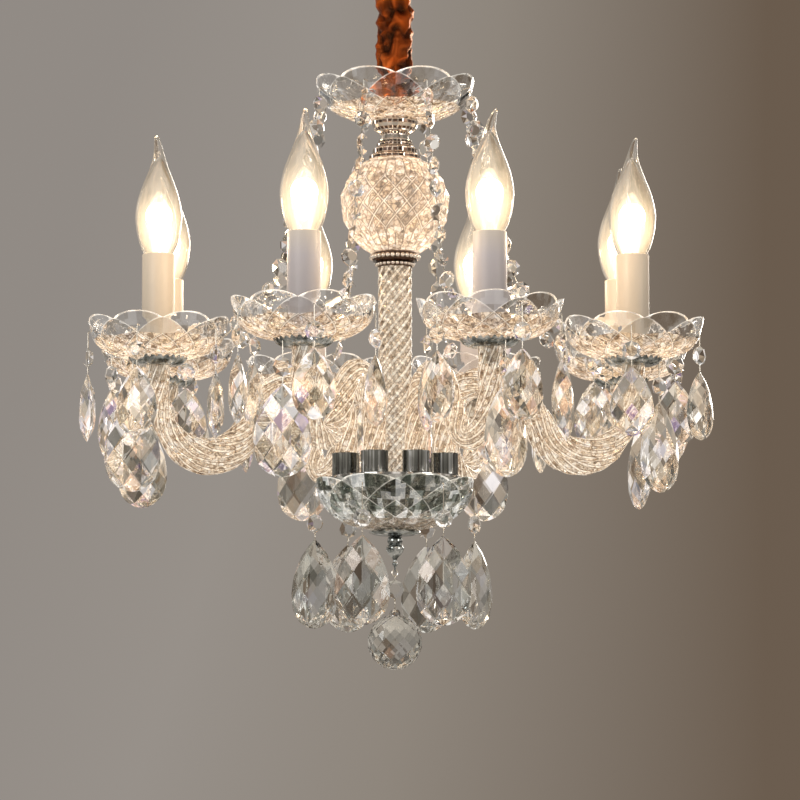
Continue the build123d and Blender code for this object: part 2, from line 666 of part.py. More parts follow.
with BuildPart() as lampholders:
    for low, high, radius, mode in (
        (64.0, 84.5, stud_r, Mode.ADD),
        (84.5, 98.0, 9.2, Mode.ADD),
        (98.0, 150.0, 9.8, Mode.ADD),
        (133.0, 151.0, 7.3, Mode.SUBTRACT),
    ):
        with BuildSketch(Plane.XY.offset(hub + low)):
            with Locations(*candle_places):
                Circle(radius)
        extrude(amount=high - low, mode=mode)
lampholders.part.label = "lampholders"
export_step(lampholders.part, "parts/lampholders.step")

# ------------------------------------------------------------------
# Flame-tip bulbs: screw cap, blown envelope and a drawn tail that leans
# ------------------------------------------------------------------
with BuildPart() as bulb_blank:
    with BuildSketch(Plane.XZ):
        with BuildLine():
            contact = Line((0, hub + 134.0), (2.4, hub + 134.0))
            cone = Line(contact @ 1, (6.9, hub + 137.0))
            cap = Line(cone @ 1, (6.9, hub + 153.5))
            collar = Line(cap @ 1, (9.6, hub + 155.0))
            throat = Line(collar @ 1, (10.7, hub + 158.2))
            belly = ThreePointArc(throat @ 1, (15.4, hub + 170.4), (17.4, hub + 185.0))
            flank = ThreePointArc(belly @ 1, (15.2, hub + 199.0), (9.2, hub + 215.0))
            tail = ThreePointArc(flank @ 1, (5.6, hub + 223.0), (3.3, hub + 232.0))
            crown = Line(tail @ 1, (0, hub + 232.0))
            Line(crown @ 1, contact @ 0)
        make_face()
    revolve(axis=Axis.Z)
    with BuildSketch(Plane.XY.offset(hub + 231.9)):
        Circle(3.2)
    with BuildSketch(Plane.XY.offset(hub + 239.0)):
        with Locations((1.6, 0)):
            Circle(2.3)
    with BuildSketch(Plane.XY.offset(hub + 245.0)):
        with Locations((4.4, 0)):
            Circle(1.5)
    loft()

for index in range(arm_count):
    x, y = plan(candle_circle, candle_angle(index))
    with BuildPart() as bulb:
        with Locations(Location((x, y, 0), (0, 0, 40.0 * index))):
            add(bulb_blank.part)
    bulb.part.label = f"bulb_{index + 1}"
    export_step(bulb.part, f"parts/bulb_{index + 1}.step")

# ------------------------------------------------------------------
# Pendants of the bobeches and ruffs: beads, almonds and their pins
# ------------------------------------------------------------------
small_hangs = []
large_hangs = []
for index in range(arm_count):
    for number, angle in enumerate(pendant_angles(index)):
        x, y = around_candle(index, pendant_circle, angle)
        inner_x, inner_y = around_candle(index, pin_inner_circle, angle)
        face = angle + 24.0 * sin(3.1 * index + 2.3 * number)
        small_hangs.append((x, y, face, inner_x, inner_y))
    x, y = around_candle(index, ruff_pin_circle, ruff_pendant[index])
    large_hangs.append((x, y, ruff_face[index]))

with BuildPart() as pendant_beads:
    for x, y, face, inner_x, inner_y in small_hangs:
        hang_bead(x, y, hub + h_pendant_bead, face)
    for x, y, face in large_hangs:
        hang_bead(x, y, hub + h_ruff_bead, face)
pendant_beads.part.label = "pendant_beads"
export_step(pendant_beads.part, "parts/pendant_beads.step")

with BuildPart() as pendant_almonds:
    for x, y, face, inner_x, inner_y in small_hangs:
        hang_almond(x, y, hub + h_pendant_almond, face, small_almond)
    for x, y, face in large_hangs:
        hang_almond(x, y, hub + h_ruff_almond, face, large_almond)
pendant_almonds.part.label = "pendant_almonds"
export_step(pendant_almonds.part, "parts/pendant_almonds.step")

with BuildPart() as pendant_pins:
    for x, y, face, inner_x, inner_y in small_hangs:
        bent_wire(
            (inner_x, inner_y, hub + h_pin_hole),
            (x, y, hub + h_pin_hole),
            (x, y, hub + h_pendant_bead + bead_r),
        )
        wire((x, y, hub + h_pendant_bead - bead_r), (x, y, hub + h_pendant_almond + joint_gap))
    for x, y, face in large_hangs:
        with BuildSketch(Plane.XY.offset(hub + h_ruff_pin_head)):
            with Locations((x, y)):
                Circle(pin_head_r)
        extrude(amount=0.5)
        wire((x, y, hub + h_ruff_pin_head + 0.2), (x, y, hub + h_ruff_bead + bead_r))
        wire((x, y, hub + h_ruff_bead - bead_r), (x, y, hub + h_ruff_almond + joint_gap))
pendant_pins.part.label = "pendant_pins"
export_step(pendant_pins.part, "parts/pendant_pins.step")

# ------------------------------------------------------------------
# Bead strands: eleven octagons on wire links from dish to bobeche
# ------------------------------------------------------------------
bead_spots = []
link_runs = []
strand_hooks = []
for index in range(arm_count):
    points = []
    last = len(strand_route) - 1
    for number, (radius, height) in enumerate(strand_route):
        angle = cup_angle(index) + (candle_angle(index) - cup_angle(index)) * number / last
        x, y = plan(radius, angle)
        points.append((x, y, hub + height))
    route = Edge.make_spline([Vector(*point) for point in points])
    pitch = (route.length - 2 * strand_lead) / (strand_beads_each - 1)
    spots = []
    for number in range(strand_beads_each):
        at = (strand_lead + pitch * number) / route.length
        spots.append(route.position_at(at))
        bead_spots.append((route.position_at(at), route.tangent_at(at), index, number))
    for number in range(strand_beads_each - 1):
        run = spots[number + 1] - spots[number]
        inset = run.normalized() * (bead_r + joint_gap)
        link_runs.append((spots[number] + inset, spots[number + 1] - inset))
    dish_x, dish_y = plan(strand_dish_circle, cup_angle(index))
    dish_end = route.position_at(0)
    first_bead = spots[0] - (spots[0] - dish_end).normalized() * bead_r
    strand_hooks.append((Vector(dish_x, dish_y, dish_end.Z), dish_end, first_bead))
    bobeche_x, bobeche_y = plan(candle_circle - strand_bobeche_circle, candle_angle(index))
    bobeche_end = route.position_at(1)
    last_bead = spots[-1] - (spots[-1] - bobeche_end).normalized() * bead_r
    strand_hooks.append((Vector(bobeche_x, bobeche_y, bobeche_end.Z), bobeche_end, last_bead))

with BuildPart() as strand_beads:
    for spot, along, index, number in bead_spots:
        turn = 40.0 * sin(2.1 * number + 1.7 * index)
        side = along.cross(Vector(0, 0, 1)).normalized().rotate(Axis((0, 0, 0), tuple(along)), turn)
        with BuildSketch(Plane(origin=spot, x_dir=along, z_dir=side)):
            RegularPolygon(bead_r, 8, major_radius=True)
        extrude(amount=bead_thick / 2, both=True, taper=40)
strand_beads.part.label = "strand_beads"
export_step(strand_beads.part, "parts/strand_beads.step")

with BuildPart() as strand_links:
    for begin, finish in link_runs:
        wire(begin, finish)
    for inner_end, corner, bead_end in strand_hooks:
        bent_wire(inner_end, corner, bead_end)
strand_links.part.label = "strand_links"
export_step(strand_links.part, "parts/strand_links.step")

print("chain swings at", round(chain_pivot_z, 2), "body swings at", round(body_pivot_z, 2))
print("ball drop swings at", round(drop_pivot_z, 2))
print("bowl pendants at", [tuple(round(v, 2) for v in plan(bowl_pin_circle, a)) for a in bowl_angles])
print("candles at", [tuple(round(v, 2) for v in place) for place in candle_places])
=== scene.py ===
# %% [markdown]
# # A crystal chandelier, piece by piece
# The chandelier hangs from a hook by a chain inside a gathered satin sleeve. A tube clamps its centre:
# a cut dish, a milled neck, an urn, a twisted glass column and a plate with eight cups. A glass arm
# stands in every cup and carries a drip dish, a candle and a flame bulb. Beads and almond drops hang
# everywhere. The frame gives the real places; this script gives the looks.

# %% The frame, the units and the height that the parts are counted from
import math
import random
from collections import namedtuple

import bmesh
import bpy
import numpy as np
from mathutils import Matrix, Vector, noise


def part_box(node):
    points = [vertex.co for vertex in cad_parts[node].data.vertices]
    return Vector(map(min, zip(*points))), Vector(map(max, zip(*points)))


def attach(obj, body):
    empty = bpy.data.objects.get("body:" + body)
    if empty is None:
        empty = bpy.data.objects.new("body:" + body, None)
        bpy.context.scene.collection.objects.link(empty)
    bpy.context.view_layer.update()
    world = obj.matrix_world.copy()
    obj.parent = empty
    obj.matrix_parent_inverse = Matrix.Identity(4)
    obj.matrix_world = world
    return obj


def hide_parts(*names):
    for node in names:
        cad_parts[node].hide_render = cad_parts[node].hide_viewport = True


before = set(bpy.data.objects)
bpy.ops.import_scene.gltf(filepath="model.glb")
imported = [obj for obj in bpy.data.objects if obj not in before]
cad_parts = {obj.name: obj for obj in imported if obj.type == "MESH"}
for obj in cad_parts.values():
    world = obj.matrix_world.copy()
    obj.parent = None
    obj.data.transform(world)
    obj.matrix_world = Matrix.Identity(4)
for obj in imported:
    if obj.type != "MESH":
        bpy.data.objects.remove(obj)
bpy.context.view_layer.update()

scene = bpy.context.scene
MM = 0.001
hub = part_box("arm_plate")[1].z / MM  # top of the arm plate, in mm
arm_count = 8

# %% [markdown]
# ## Camera
# The photograph was taken from a little under the chandelier with a long lens. Eight candles on a
# known circle are enough to solve for the distance, the height and the tilt, which are used here.

# %% Camera
photo_px, focal_px = 800, 3790.5
away, below_hub = 2.806, 0.2581
fixture_turn, look_right, look_up = map(math.radians, (0.47, 0.0768, 6.431))
camera = bpy.data.objects.new("camera", bpy.data.cameras.new("camera"))
camera.data.sensor_width = 36.0
camera.data.lens = camera.data.sensor_width * focal_px / photo_px
camera.data.clip_end = 100.0
camera.location = (
    -away * math.sin(fixture_turn), -away * math.cos(fixture_turn), hub * MM - below_hub
)
camera.rotation_euler = (math.pi / 2 + look_up, 0, -fixture_turn - look_right)
scene.collection.objects.link(camera)
scene.camera = camera
print("lens", round(camera.data.lens, 2), "mm at", [round(v, 3) for v in camera.location])

# %% [markdown]
# ## How light is counted
# Clear glass needs many bounces, because a ray passes two walls of every dish and drop. Caustics are
# off: they cost far more than they show under soft light.

# %% Render limits of the scene
scene.view_settings.view_transform = "Standard"
scene.cycles.max_bounces = 20
scene.cycles.transmission_bounces = 18
scene.cycles.glossy_bounces = 6
scene.cycles.diffuse_bounces = 3
scene.cycles.transparent_max_bounces = 16
scene.cycles.caustics_reflective = False
scene.cycles.caustics_refractive = False
scene.cycles.sample_clamp_indirect = 8.0
scene.cycles.use_denoising = True
print("a ray may turn", scene.cycles.max_bounces, "times")


# %% [markdown]
# ## Node helpers
# Materials are made of nodes. These helpers add a node, feed its inputs and make a colour ramp, so
# that each material below reads as a list of what it is. An input gets a value or a link alike.

# %% Node helpers
def feed(socket, value):
    """Link another socket to this one, or set its value; a colour gets its alpha here."""
    if isinstance(value, bpy.types.NodeSocket):
        socket.id_data.links.new(value, socket)
    else:
        socket.default_value = (*value, 1.0) if socket.type == "RGBA" else value


def give(node, **inputs):
    """Feed a node's inputs by name; an underscore stands for a space."""
    for name, value in inputs.items():
        feed(node.inputs[name.replace("_", " ")], value)


def add(tree, kind, **values):
    """Add a node. A name with a capital is an input, one without is a setting of the node."""
    node = tree.nodes.new("ShaderNode" + kind)
    for name, value in values.items():
        if name[0].isupper():
            give(node, **{name: value})
        else:
            setattr(node, name, value)
    return node


def ramp(tree, source, stops, kind="LINEAR"):
    """A colour ramp. Stops are (place, colour), the two ends first; one number is a grey."""
    node = add(tree, "ValToRGB", Fac=source)
    node.color_ramp.interpolation = kind
    elements = node.color_ramp.elements
    for number, (place, colour) in enumerate(stops):
        stop = elements[number] if number < 2 else elements.new(place)
        stop.position = place
        stop.color = (colour, colour, colour, 1.0) if isinstance(colour, float) else (*colour, 1.0)
    return node.outputs["Color"]


def calc(tree, operation, a, b):
    """One step of arithmetic on two numbers or sockets."""
    node = add(tree, "Math", operation=operation)
    feed(node.inputs[0], a)
    feed(node.inputs[1], b)
    return node.outputs[0]


def mix(tree, share, a, b, kind="MIX"):
    """Two colours, mixed by a share."""
    node = add(tree, "Mix", data_type="RGBA", blend_type=kind)
    for index, value in ((0, share), (6, a), (7, b)):
        feed(node.inputs[index], value)
    return node.outputs[2]


def times(tree, a, b):
    """One colour seen through another."""
    return mix(tree, 1.0, a, b, "MULTIPLY")


print("nodes can be added, fed and mixed")


# %% [markdown]
# A material starts from the Principled shader. Most of the patterns below are noise that stays on
# the piece, a share that grows with height, or a number that the mesh carries.

# %% Material helpers
def surface(name, **inputs):
    """A material, its tree and its Principled shader. What glows isn't sampled as a lamp."""
    material = bpy.data.materials.new(name)
    material.use_nodes = True
    shader = material.node_tree.nodes["Principled BSDF"]
    give(shader, **inputs)
    if "Emission_Strength" in inputs:
        material.cycles.emission_sampling = "NONE"
    return material, material.node_tree, shader


def object_point(tree, stretch=(1, 1, 1)):
    """Object coordinates, stretched by a Mapping node."""
    return add(tree, "Mapping", Vector=add(tree, "TexCoord").outputs["Object"], Scale=stretch).outputs[0]


def cloudy(tree, scale, detail, rough=0.5, stretch=(1, 1, 1)):
    """Noise that stays on the piece."""
    point = object_point(tree, stretch)
    return add(tree, "TexNoise", Vector=point, Scale=scale, Detail=detail, Roughness=rough).outputs["Fac"]


def rise_of(tree, low, high, least=0.0):
    """A share that grows from `least` to 1 between two heights, in mm above the hub."""
    axes = add(tree, "SeparateXYZ", Vector=object_point(tree))
    return add(tree, "MapRange", Value=axes.outputs["Z"], From_Min=(hub + low) * MM,
               From_Max=(hub + high) * MM, To_Min=least).outputs[0]


def relief(tree, height, strength, distance):
    """A normal that rises and falls with a height."""
    return add(tree, "Bump", Height=height, Strength=strength, Distance=distance).outputs[0]


def attribute(tree, name):
    """A number that the mesh carries."""
    return add(tree, "Attribute", attribute_name=name).outputs["Fac"]


def node_group(name, inputs, outputs):
    """An effect that materials share: the group, what it is given, and its output node."""
    group = bpy.data.node_groups.new(name, "ShaderNodeTree")
    for way, sockets in (("INPUT", inputs), ("OUTPUT", outputs)):
        for title, kind in sockets.items():
            group.interface.new_socket(name=title, in_out=way, socket_type="NodeSocket" + kind)
    return group, group.nodes.new("NodeGroupInput").outputs, group.nodes.new("NodeGroupOutput")


print("a share of height runs from", round(hub * MM, 4), "m, the top of the arm plate")


# %% [markdown]
# ## Room
# The wall behind is a warm grey, painted darker and falling off to brown on the right and towards the
# bottom, as painted shade on the wall. It is painted in the world for what the camera, glass and chrome
# see. What lights the pieces is a plain, even sky, so the wall's colour doesn't tinge them. Glass that
# bends a ray far aside looks into the room, so there the world has brighter and darker patches, as a
# furnished room with lamps has.

# %% World
world = bpy.data.worlds.new("room")
scene.world = world
world.use_nodes = True
tree = world.node_tree
tree.nodes.clear()
direction = add(tree, "TexCoord").outputs["Generated"]
axes = add(tree, "SeparateXYZ", Vector=direction).outputs
half_view = 0.105  # half the photograph's width, as a slope
low_edge, high_edge = 0.007, 0.216  # the photograph's bottom and top, as slopes


def along(axis, start, end, **reach):
    """A share that grows along one axis of the view."""
    return add(tree, "MapRange", Value=axes[axis], From_Min=start, From_Max=end, **reach).outputs[0]


across = along("X", -half_view, half_view)
spread = along("Z", low_edge, high_edge, To_Min=0.82, To_Max=1.22)
upward = along("Z", low_edge, high_edge, To_Min=0.54, To_Max=0.35)
aslant = calc(tree, "MULTIPLY", calc(tree, "SUBTRACT", across, 0.5), spread)
# Painted shade: the wall is darker and browner to the right and towards the bottom.
wall = ramp(tree, calc(tree, "ADD", aslant, upward), (
    (0.0, (0.285, 0.258, 0.235)), (1.0, (0.131, 0.092, 0.062)), (0.3, (0.310, 0.280, 0.252)),
    (0.56, (0.272, 0.238, 0.202)), (0.8, (0.196, 0.160, 0.127)),
))
patches = add(tree, "TexNoise", Vector=direction, Scale=3.4, Detail=2.0, Roughness=0.6).outputs["Fac"]
room = ramp(tree, patches, (
    (0.30, (0.03, 0.024, 0.02)), (1.0, (2.6, 2.5, 2.4)), (0.40, (0.13, 0.115, 0.095)),
    (0.50, (0.26, 0.25, 0.225)), (0.58, (0.40, 0.36, 0.31)), (0.66, (1.0, 0.94, 0.86)),
))
seen = mix(tree, along("Y", 0.93, 0.72), wall, room)
rays = add(tree, "LightPath").outputs
bent = calc(tree, "MAXIMUM", rays["Is Glossy Ray"], rays["Is Transmission Ray"])
plain = add(tree, "Background", Color=(1.0, 0.96, 0.90), Strength=0.42)
painted = add(tree, "Background", Color=mix(tree, bent, wall, seen), Strength=1.0)
either = add(tree, "MixShader", Fac=calc(tree, "MAXIMUM", rays["Is Camera Ray"], bent))
feed(either.inputs[1], plain.outputs[0])
feed(either.inputs[2], painted.outputs[0])
add(tree, "OutputWorld", Surface=either.outputs[0])
print("world has", len(tree.nodes), "nodes")

# %% [markdown]
# The floor is plain and pale, far enough below that the chandelier hangs free of it.

# %% Floor
floor_depth, floor_half = -1.12, 9.0
ground = bmesh.new()
bmesh.ops.create_grid(ground, x_segments=1, y_segments=1, size=floor_half)
bmesh.ops.translate(ground, vec=(0, 0, floor_depth), verts=ground.verts)
floor = bpy.data.objects.new("floor", bpy.data.meshes.new("floor"))
ground.to_mesh(floor.data)
ground.free()
pale, tree, shader = surface("pale_floor", Roughness=0.75)
grain = cloudy(tree, 6.0, 4.0)
give(shader, Base_Color=ramp(tree, grain, ((0.3, (0.60, 0.57, 0.53)), (0.7, (0.64, 0.61, 0.57)))))
floor.data.materials.append(pale)
scene.collection.objects.link(floor)
print("floor at", floor_depth, "m")


# %% [markdown]
# ## Lamps of the room
# One large soft lamp stands front left, a weaker one front right, and one behind gives rims. Glass
# doesn't show them, or they would be white squares in every facet.

# %% Room lamps
def soft_lamp(name, at, size, power, colour):
    """A square lamp that looks at the middle of the chandelier."""
    lamp = bpy.data.objects.new(name, bpy.data.lights.new(name, "AREA"))
    lamp.data.size, lamp.data.energy, lamp.data.color = size, power, colour
    lamp.location = at
    aim = Vector((0, 0, hub * MM + 0.05)) - Vector(at)
    lamp.rotation_euler = aim.to_track_quat("-Z", "Y").to_euler()
    lamp.visible_transmission = False
    scene.collection.objects.link(lamp)
    print(name, "gives", power, "W")


soft_lamp("window_side", (-1.7, -1.9, 0.35), 1.1, 18.0, (1.0, 0.985, 0.96))
soft_lamp("room_side", (2.1, -1.4, -0.1), 0.8, 8.0, (1.0, 0.94, 0.86))
soft_lamp("behind", (0.9, 2.2, 0.3), 0.9, 22.0, (1.0, 0.93, 0.84))


# %% [markdown]
# ## Shapes turned on a lathe
# Most metal and glass here is round. A half profile is spun round the axis, and each point remembers
# its row (its place on the profile) and its column (its step round the axis), so that cuts, flutes
# and scallops can be moved in afterwards on exact mesh lines.

# %% Lathe helpers
def polar(radius, angle):
    """A plan point at an angle in radians."""
    return radius * math.cos(angle), radius * math.sin(angle)


def plan_radius(vert):
    """How far a vertex is from the axis, in mm."""
    return math.hypot(vert.co.x, vert.co.y) / MM


def smooth_run(points, count):
    """Walk a smooth curve through the points in `count` even steps."""
    p = np.array([points[0], *points, points[-1]], float)
    p[0], p[-1] = 2 * p[1] - p[2], 2 * p[-2] - p[-3]
    walked = []
    for a, b, c, d in zip(p, p[1:], p[2:], p[3:]):
        for t in np.arange(0, 1, 1 / 16):
            walked.append(0.5 * (2 * b + (c - a) * t + (2 * a - 5 * b + 4 * c - d) * t**2
                                 + (3 * b - a - 3 * c + d) * t**3))
    walked = np.array([*walked, p[-2]])
    gone = np.concatenate([[0], np.cumsum(np.linalg.norm(np.diff(walked, axis=0), axis=1))])
    at = np.linspace(0, gone[-1], count + 1)
    return [tuple(float(np.interp(s, gone, walked[:, axis])) for axis in (0, 1)) for s in at]


def lathe(profile, steps, closed=False):
    """Spin (radius, height) points in mm round the z axis. Gives the mesh and (vert, row, column)."""
    bm = bmesh.new()
    for layer in ("glow", "cut"):
        bm.verts.layers.float.new(layer)
    row_of = bm.verts.layers.int.new("row")
    points = []
    for row, (radius, height) in enumerate(profile):
        point = bm.verts.new((radius * MM, 0, height * MM))
        point[row_of] = row
        points.append(point)
    edges = [bm.edges.new(pair) for pair in zip(points, points[1:])]
    if closed:
        edges.append(bm.edges.new((points[-1], points[0])))
    bmesh.ops.spin(bm, geom=points + edges, axis=(0, 0, 1), cent=(0, 0, 0),
                   angle=2 * math.pi, steps=steps, use_merge=True)
    bmesh.ops.remove_doubles(bm, verts=bm.verts, dist=1e-7)
    bmesh.ops.recalc_face_normals(bm, faces=bm.faces)
    grid = []
    for vert in bm.verts:
        turn = math.atan2(vert.co.y, vert.co.x)
        grid.append((vert, vert[row_of], round(turn / (2 * math.pi) * steps) % steps))
    return bm, grid


def wire_ring(middle_r, wire_r, sides, steps):
    """A ring of round wire that lies flat."""
    section = [polar(wire_r, 2 * math.pi * k / sides) for k in range(sides)]
    return lathe([(middle_r + x, y) for x, y in section], steps, closed=True)[0]


def push(vert, out=0.0, up=0.0):
    """Move a vertex away from the axis and upwards, in mm."""
    radius = math.hypot(vert.co.x, vert.co.y)
    if radius > 1e-6:
        share = 1 + out * MM / radius
        vert.co.x *= share
        vert.co.y *= share
    vert.co.z += up * MM


def write_on(bm, layer_name, share_of):
    """Write a number on every vertex, for the material to read."""
    layer = bm.verts.layers.float.get(layer_name) or bm.verts.layers.float.new(layer_name)
    for vert in bm.verts:
        vert[layer] = share_of(vert)


def number_tiles(bm, steps, seed, top_row, pitch_of):
    """One seeded number for each of the four triangles of every lozenge of a cut lathe shape."""
    row_of = bm.verts.layers.int["row"]
    layer = bm.faces.layers.float.new("facet")
    draw, tones = random.Random(seed), {}
    for face in bm.faces:
        middle = face.calc_center_median()
        column = math.atan2(middle.y, middle.x) / (2 * math.pi) * steps
        down = top_row - sum(vert[row_of] for vert in face.verts) / len(face.verts)
        pitch = pitch_of(down)
        rising, falling = (down + column) / pitch, (down - column) / pitch
        right, low = rising % 1 > falling % 1, rising % 1 + falling % 1 > 1
        turns = steps / pitch
        key = (int(rising // 1 % turns), int(falling // 1 % turns), right, low, pitch)
        if key not in tones:
            tones[key] = draw.uniform(0.02, 1.0)
        face[layer] = tones[key]


print("a smooth run:", [tuple(round(v, 2) for v in at) for at in smooth_run([(0, 0), (1, 2), (4, 3)], 3)])


# %% [markdown]
# A finished mesh is moved to its place, repeated or joined with others, and then becomes a piece: it
# rides on a body and stands for a node of the frame, and its slot says whether it throws a hard
# shadow. Some shapes start as curves.

# %% Mesh helpers
def standing(x=0.0, y=0.0, turn=0.0, up=0.0):
    """A matrix that turns a piece round z and sets it at a plan place, in mm above the hub."""
    return Matrix.Translation((x * MM, y * MM, (hub + up) * MM)) @ Matrix.Rotation(turn, 4, "Z")


def move(bm, matrix):
    """Move a whole mesh."""
    bmesh.ops.transform(bm, matrix=matrix, verts=bm.verts)
    return bm


def repeated(pattern, matrices):
    """One mesh with a copy of the pattern at every matrix."""
    mesh = bpy.data.meshes.new("pattern")
    pattern.to_mesh(mesh)
    whole = bmesh.new()
    for matrix in matrices:
        before = len(whole.verts)
        whole.from_mesh(mesh)
        whole.verts.ensure_lookup_table()
        bmesh.ops.transform(whole, matrix=matrix, verts=whole.verts[before:])
    bpy.data.meshes.remove(mesh)
    return whole


def together(*parts):
    """Join meshes into one; each part gets its own material index."""
    whole = bmesh.new()
    for index, part in enumerate(parts):
        for face in part.faces:
            face.material_index = index
        mesh = bpy.data.meshes.new("part")
        part.to_mesh(mesh)
        whole.from_mesh(mesh)
        bpy.data.meshes.remove(mesh)
        part.free()
    return whole


def curve_through(points):
    """A curve of straight legs through (x, y, z) points in mm, and its spline's points."""
    curve = bpy.data.curves.new("route", "CURVE")
    curve.dimensions, curve.use_fill_caps = "3D", True
    line = curve.splines.new("POLY")
    line.points.add(len(points) - 1)
    for place, (x, y, z) in zip(line.points, points):
        place.co = (x * MM, y * MM, z * MM, 1)
    return curve, line.points


def mesh_of_curve(curve, *helpers):
    """The mesh that a curve with a bevel makes, with its caps joined on."""
    holders = [bpy.data.objects.new("route", curve), *helpers]
    for holder in holders:
        scene.collection.objects.link(holder)
    shaped = holders[0].evaluated_get(bpy.context.evaluated_depsgraph_get())
    mesh = bpy.data.meshes.new_from_object(shaped)
    bm = bmesh.new()
    bm.from_mesh(mesh)
    bmesh.ops.remove_doubles(bm, verts=bm.verts, dist=1e-7)
    bmesh.ops.recalc_face_normals(bm, faces=bm.faces)
    for holder in holders:
        bpy.data.objects.remove(holder)
    bpy.data.meshes.remove(mesh)
    return bm


clear_slots = {"cut_glass", "crystal", "bulb_glass"}  # glass pieces throw no hard shadow


def make_piece(name, bm, materials, slot, stands_for, body="fixture", sharp=None):
    """Turn a mesh in frame coordinates into a piece that rides on its body."""
    mesh = bpy.data.meshes.new(name)
    bm.to_mesh(mesh)
    bm.free()
    if sharp:
        mesh.shade_smooth()
        mesh.set_sharp_from_angle(angle=math.radians(sharp))
    for material in materials:
        mesh.materials.append(material)
    piece = bpy.data.objects.new(name, mesh)
    scene.collection.objects.link(piece)
    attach(piece, body)
    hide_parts(stands_for)
    piece.visible_shadow = slot not in clear_slots
    print(f"{name}: {len(mesh.polygons)} faces on {body}")
    return piece


print("no hard shadow from", sorted(clear_slots))


# %% [markdown]
# ## Metals
# Chrome, nickel, zinc-plated steel, brass, fine wire and the canopy's brown lacquer are one recipe
# with other values. No real plating is even, so a shared group gives smudges for the roughness and a
# faint change of colour, and every metal uses it at its own scale.

# %% Metals
plating, given, made = node_group(
    "plating", {"Scale": "Float", "Colour": "Color", "Smooth": "Float", "Dull": "Float"},
    {"Colour": "Color", "Roughness": "Float"}
)
worn = ramp(plating, cloudy(plating, given["Scale"], 5.0, 0.65), ((0.38, 0.0), (0.72, 1.0)))
dimmed = mix(plating, worn, (1.0, 1.0, 1.0), (0.80, 0.77, 0.74))
dulled = add(plating, "MapRange", Value=worn, To_Min=given["Smooth"], To_Max=given["Dull"])
give(made, Colour=times(plating, given["Colour"], dimmed), Roughness=dulled.outputs[0])


def metal(name, colour, smooth, dull, scale):
    """A plated metal with smudges."""
    material, tree, shader = surface(name, Metallic=1.0)
    finish = add(tree, "Group", node_tree=plating, Colour=colour, Smooth=smooth, Dull=dull, Scale=scale)
    give(shader, Base_Color=finish.outputs["Colour"], Roughness=finish.outputs["Roughness"])
    print("metal", name)
    return material


chrome = metal("chrome", (0.64, 0.63, 0.62), 0.03, 0.12, 60.0)
steel = metal("plated_steel", (0.62, 0.60, 0.56), 0.25, 0.48, 90.0)
brass = metal("brass", (0.83, 0.62, 0.30), 0.16, 0.36, 120.0)
pin_wire = metal("pin_wire", (0.86, 0.82, 0.74), 0.10, 0.22, 150.0)
lacquer = metal("copper_brown_lacquer", (0.33, 0.15, 0.075), 0.22, 0.42, 40.0)
# Painted shade: a dark metal for the floors of recesses and the core between beads.
recess_shade = metal("recess_painted_shade", (0.12, 0.075, 0.055), 0.12, 0.3, 200.0)
cast_nickel = metal("cast_nickel", (0.84, 0.76, 0.69), 0.06, 0.2, 120.0)
bead_nickel = metal("bead_nickel", (1.0, 0.94, 0.88), 0.04, 0.12, 120.0)


# %% [markdown]
# The arm cups are deep drawn and polished up and down, so their polish has fine upright streaks: a
# noise that is stretched along z, which also paints upright reflection streaks, dark and bright, into
# their colour. The cap, the finial and the ruffs get a painted reflection of a dark room in soft clouds
# in their colour, and a polish that follows it.

# %% Chrome with painted reflections
def chrome_with_painted_reflections(name, pattern, stops, rough_ends):
    """Chrome whose polish follows a noise, and whose colour follows it too as a painted reflection."""
    material, tree, shader = surface(name, Metallic=1.0)
    tone = cloudy(tree, *pattern)
    give(shader, Base_Color=ramp(tree, tone, stops),
         Roughness=ramp(tree, tone, ((0.3, rough_ends[0]), (0.7, rough_ends[1]))))
    print("chrome", name)
    return material


# Painted reflection: upright dark and bright streaks in the cups' colour.
reflection_streak_chrome = chrome_with_painted_reflections("reflection_streak_chrome", (1.0, 3.0, 0.55, (520, 520, 8)), (
    (0.34, (0.10, 0.09, 0.085)), (0.70, (0.92, 0.95, 1.0)), (0.46, (0.26, 0.27, 0.26)),
    (0.56, (0.42, 0.43, 0.41)), (0.62, (0.80, 0.82, 0.85)),
), (0.22, 0.06))
# Painted reflection: a dark room in soft clouds, in the colour.
dark_room_reflection_chrome = chrome_with_painted_reflections("dark_room_reflection_chrome", (130.0, 3.0, 0.6, (1, 1, 1.8)), (
    (0.36, (0.07, 0.075, 0.07)), (0.70, (0.97, 1.0, 1.0)), (0.50, (0.33, 0.36, 0.36)),
    (0.58, (0.62, 0.65, 0.66)),
), (0.14, 0.03))

# %% [markdown]
# ## Cut glass
# Cut lead glass near a lit bulb doesn't look clear. Each cut bends light from the bulbs, and the eye
# sees a mosaic of small cream, amber and white tiles. Tracing every such path needs thousands of
# samples, so the glass is honest glass in shape and index, and a shared group paints the mosaic, as
# painted light and shade, into the glass's colour and adds it as a weak glow. The mesh carries three
# numbers for it: glow, strong by a dish's floor and weak in its clear band; cut, which is 1 on a ground
# line, where a painted highlight runs, with painted shade just beside it; and facet, one number for
# each flat, which paints that flat a little lighter or darker.

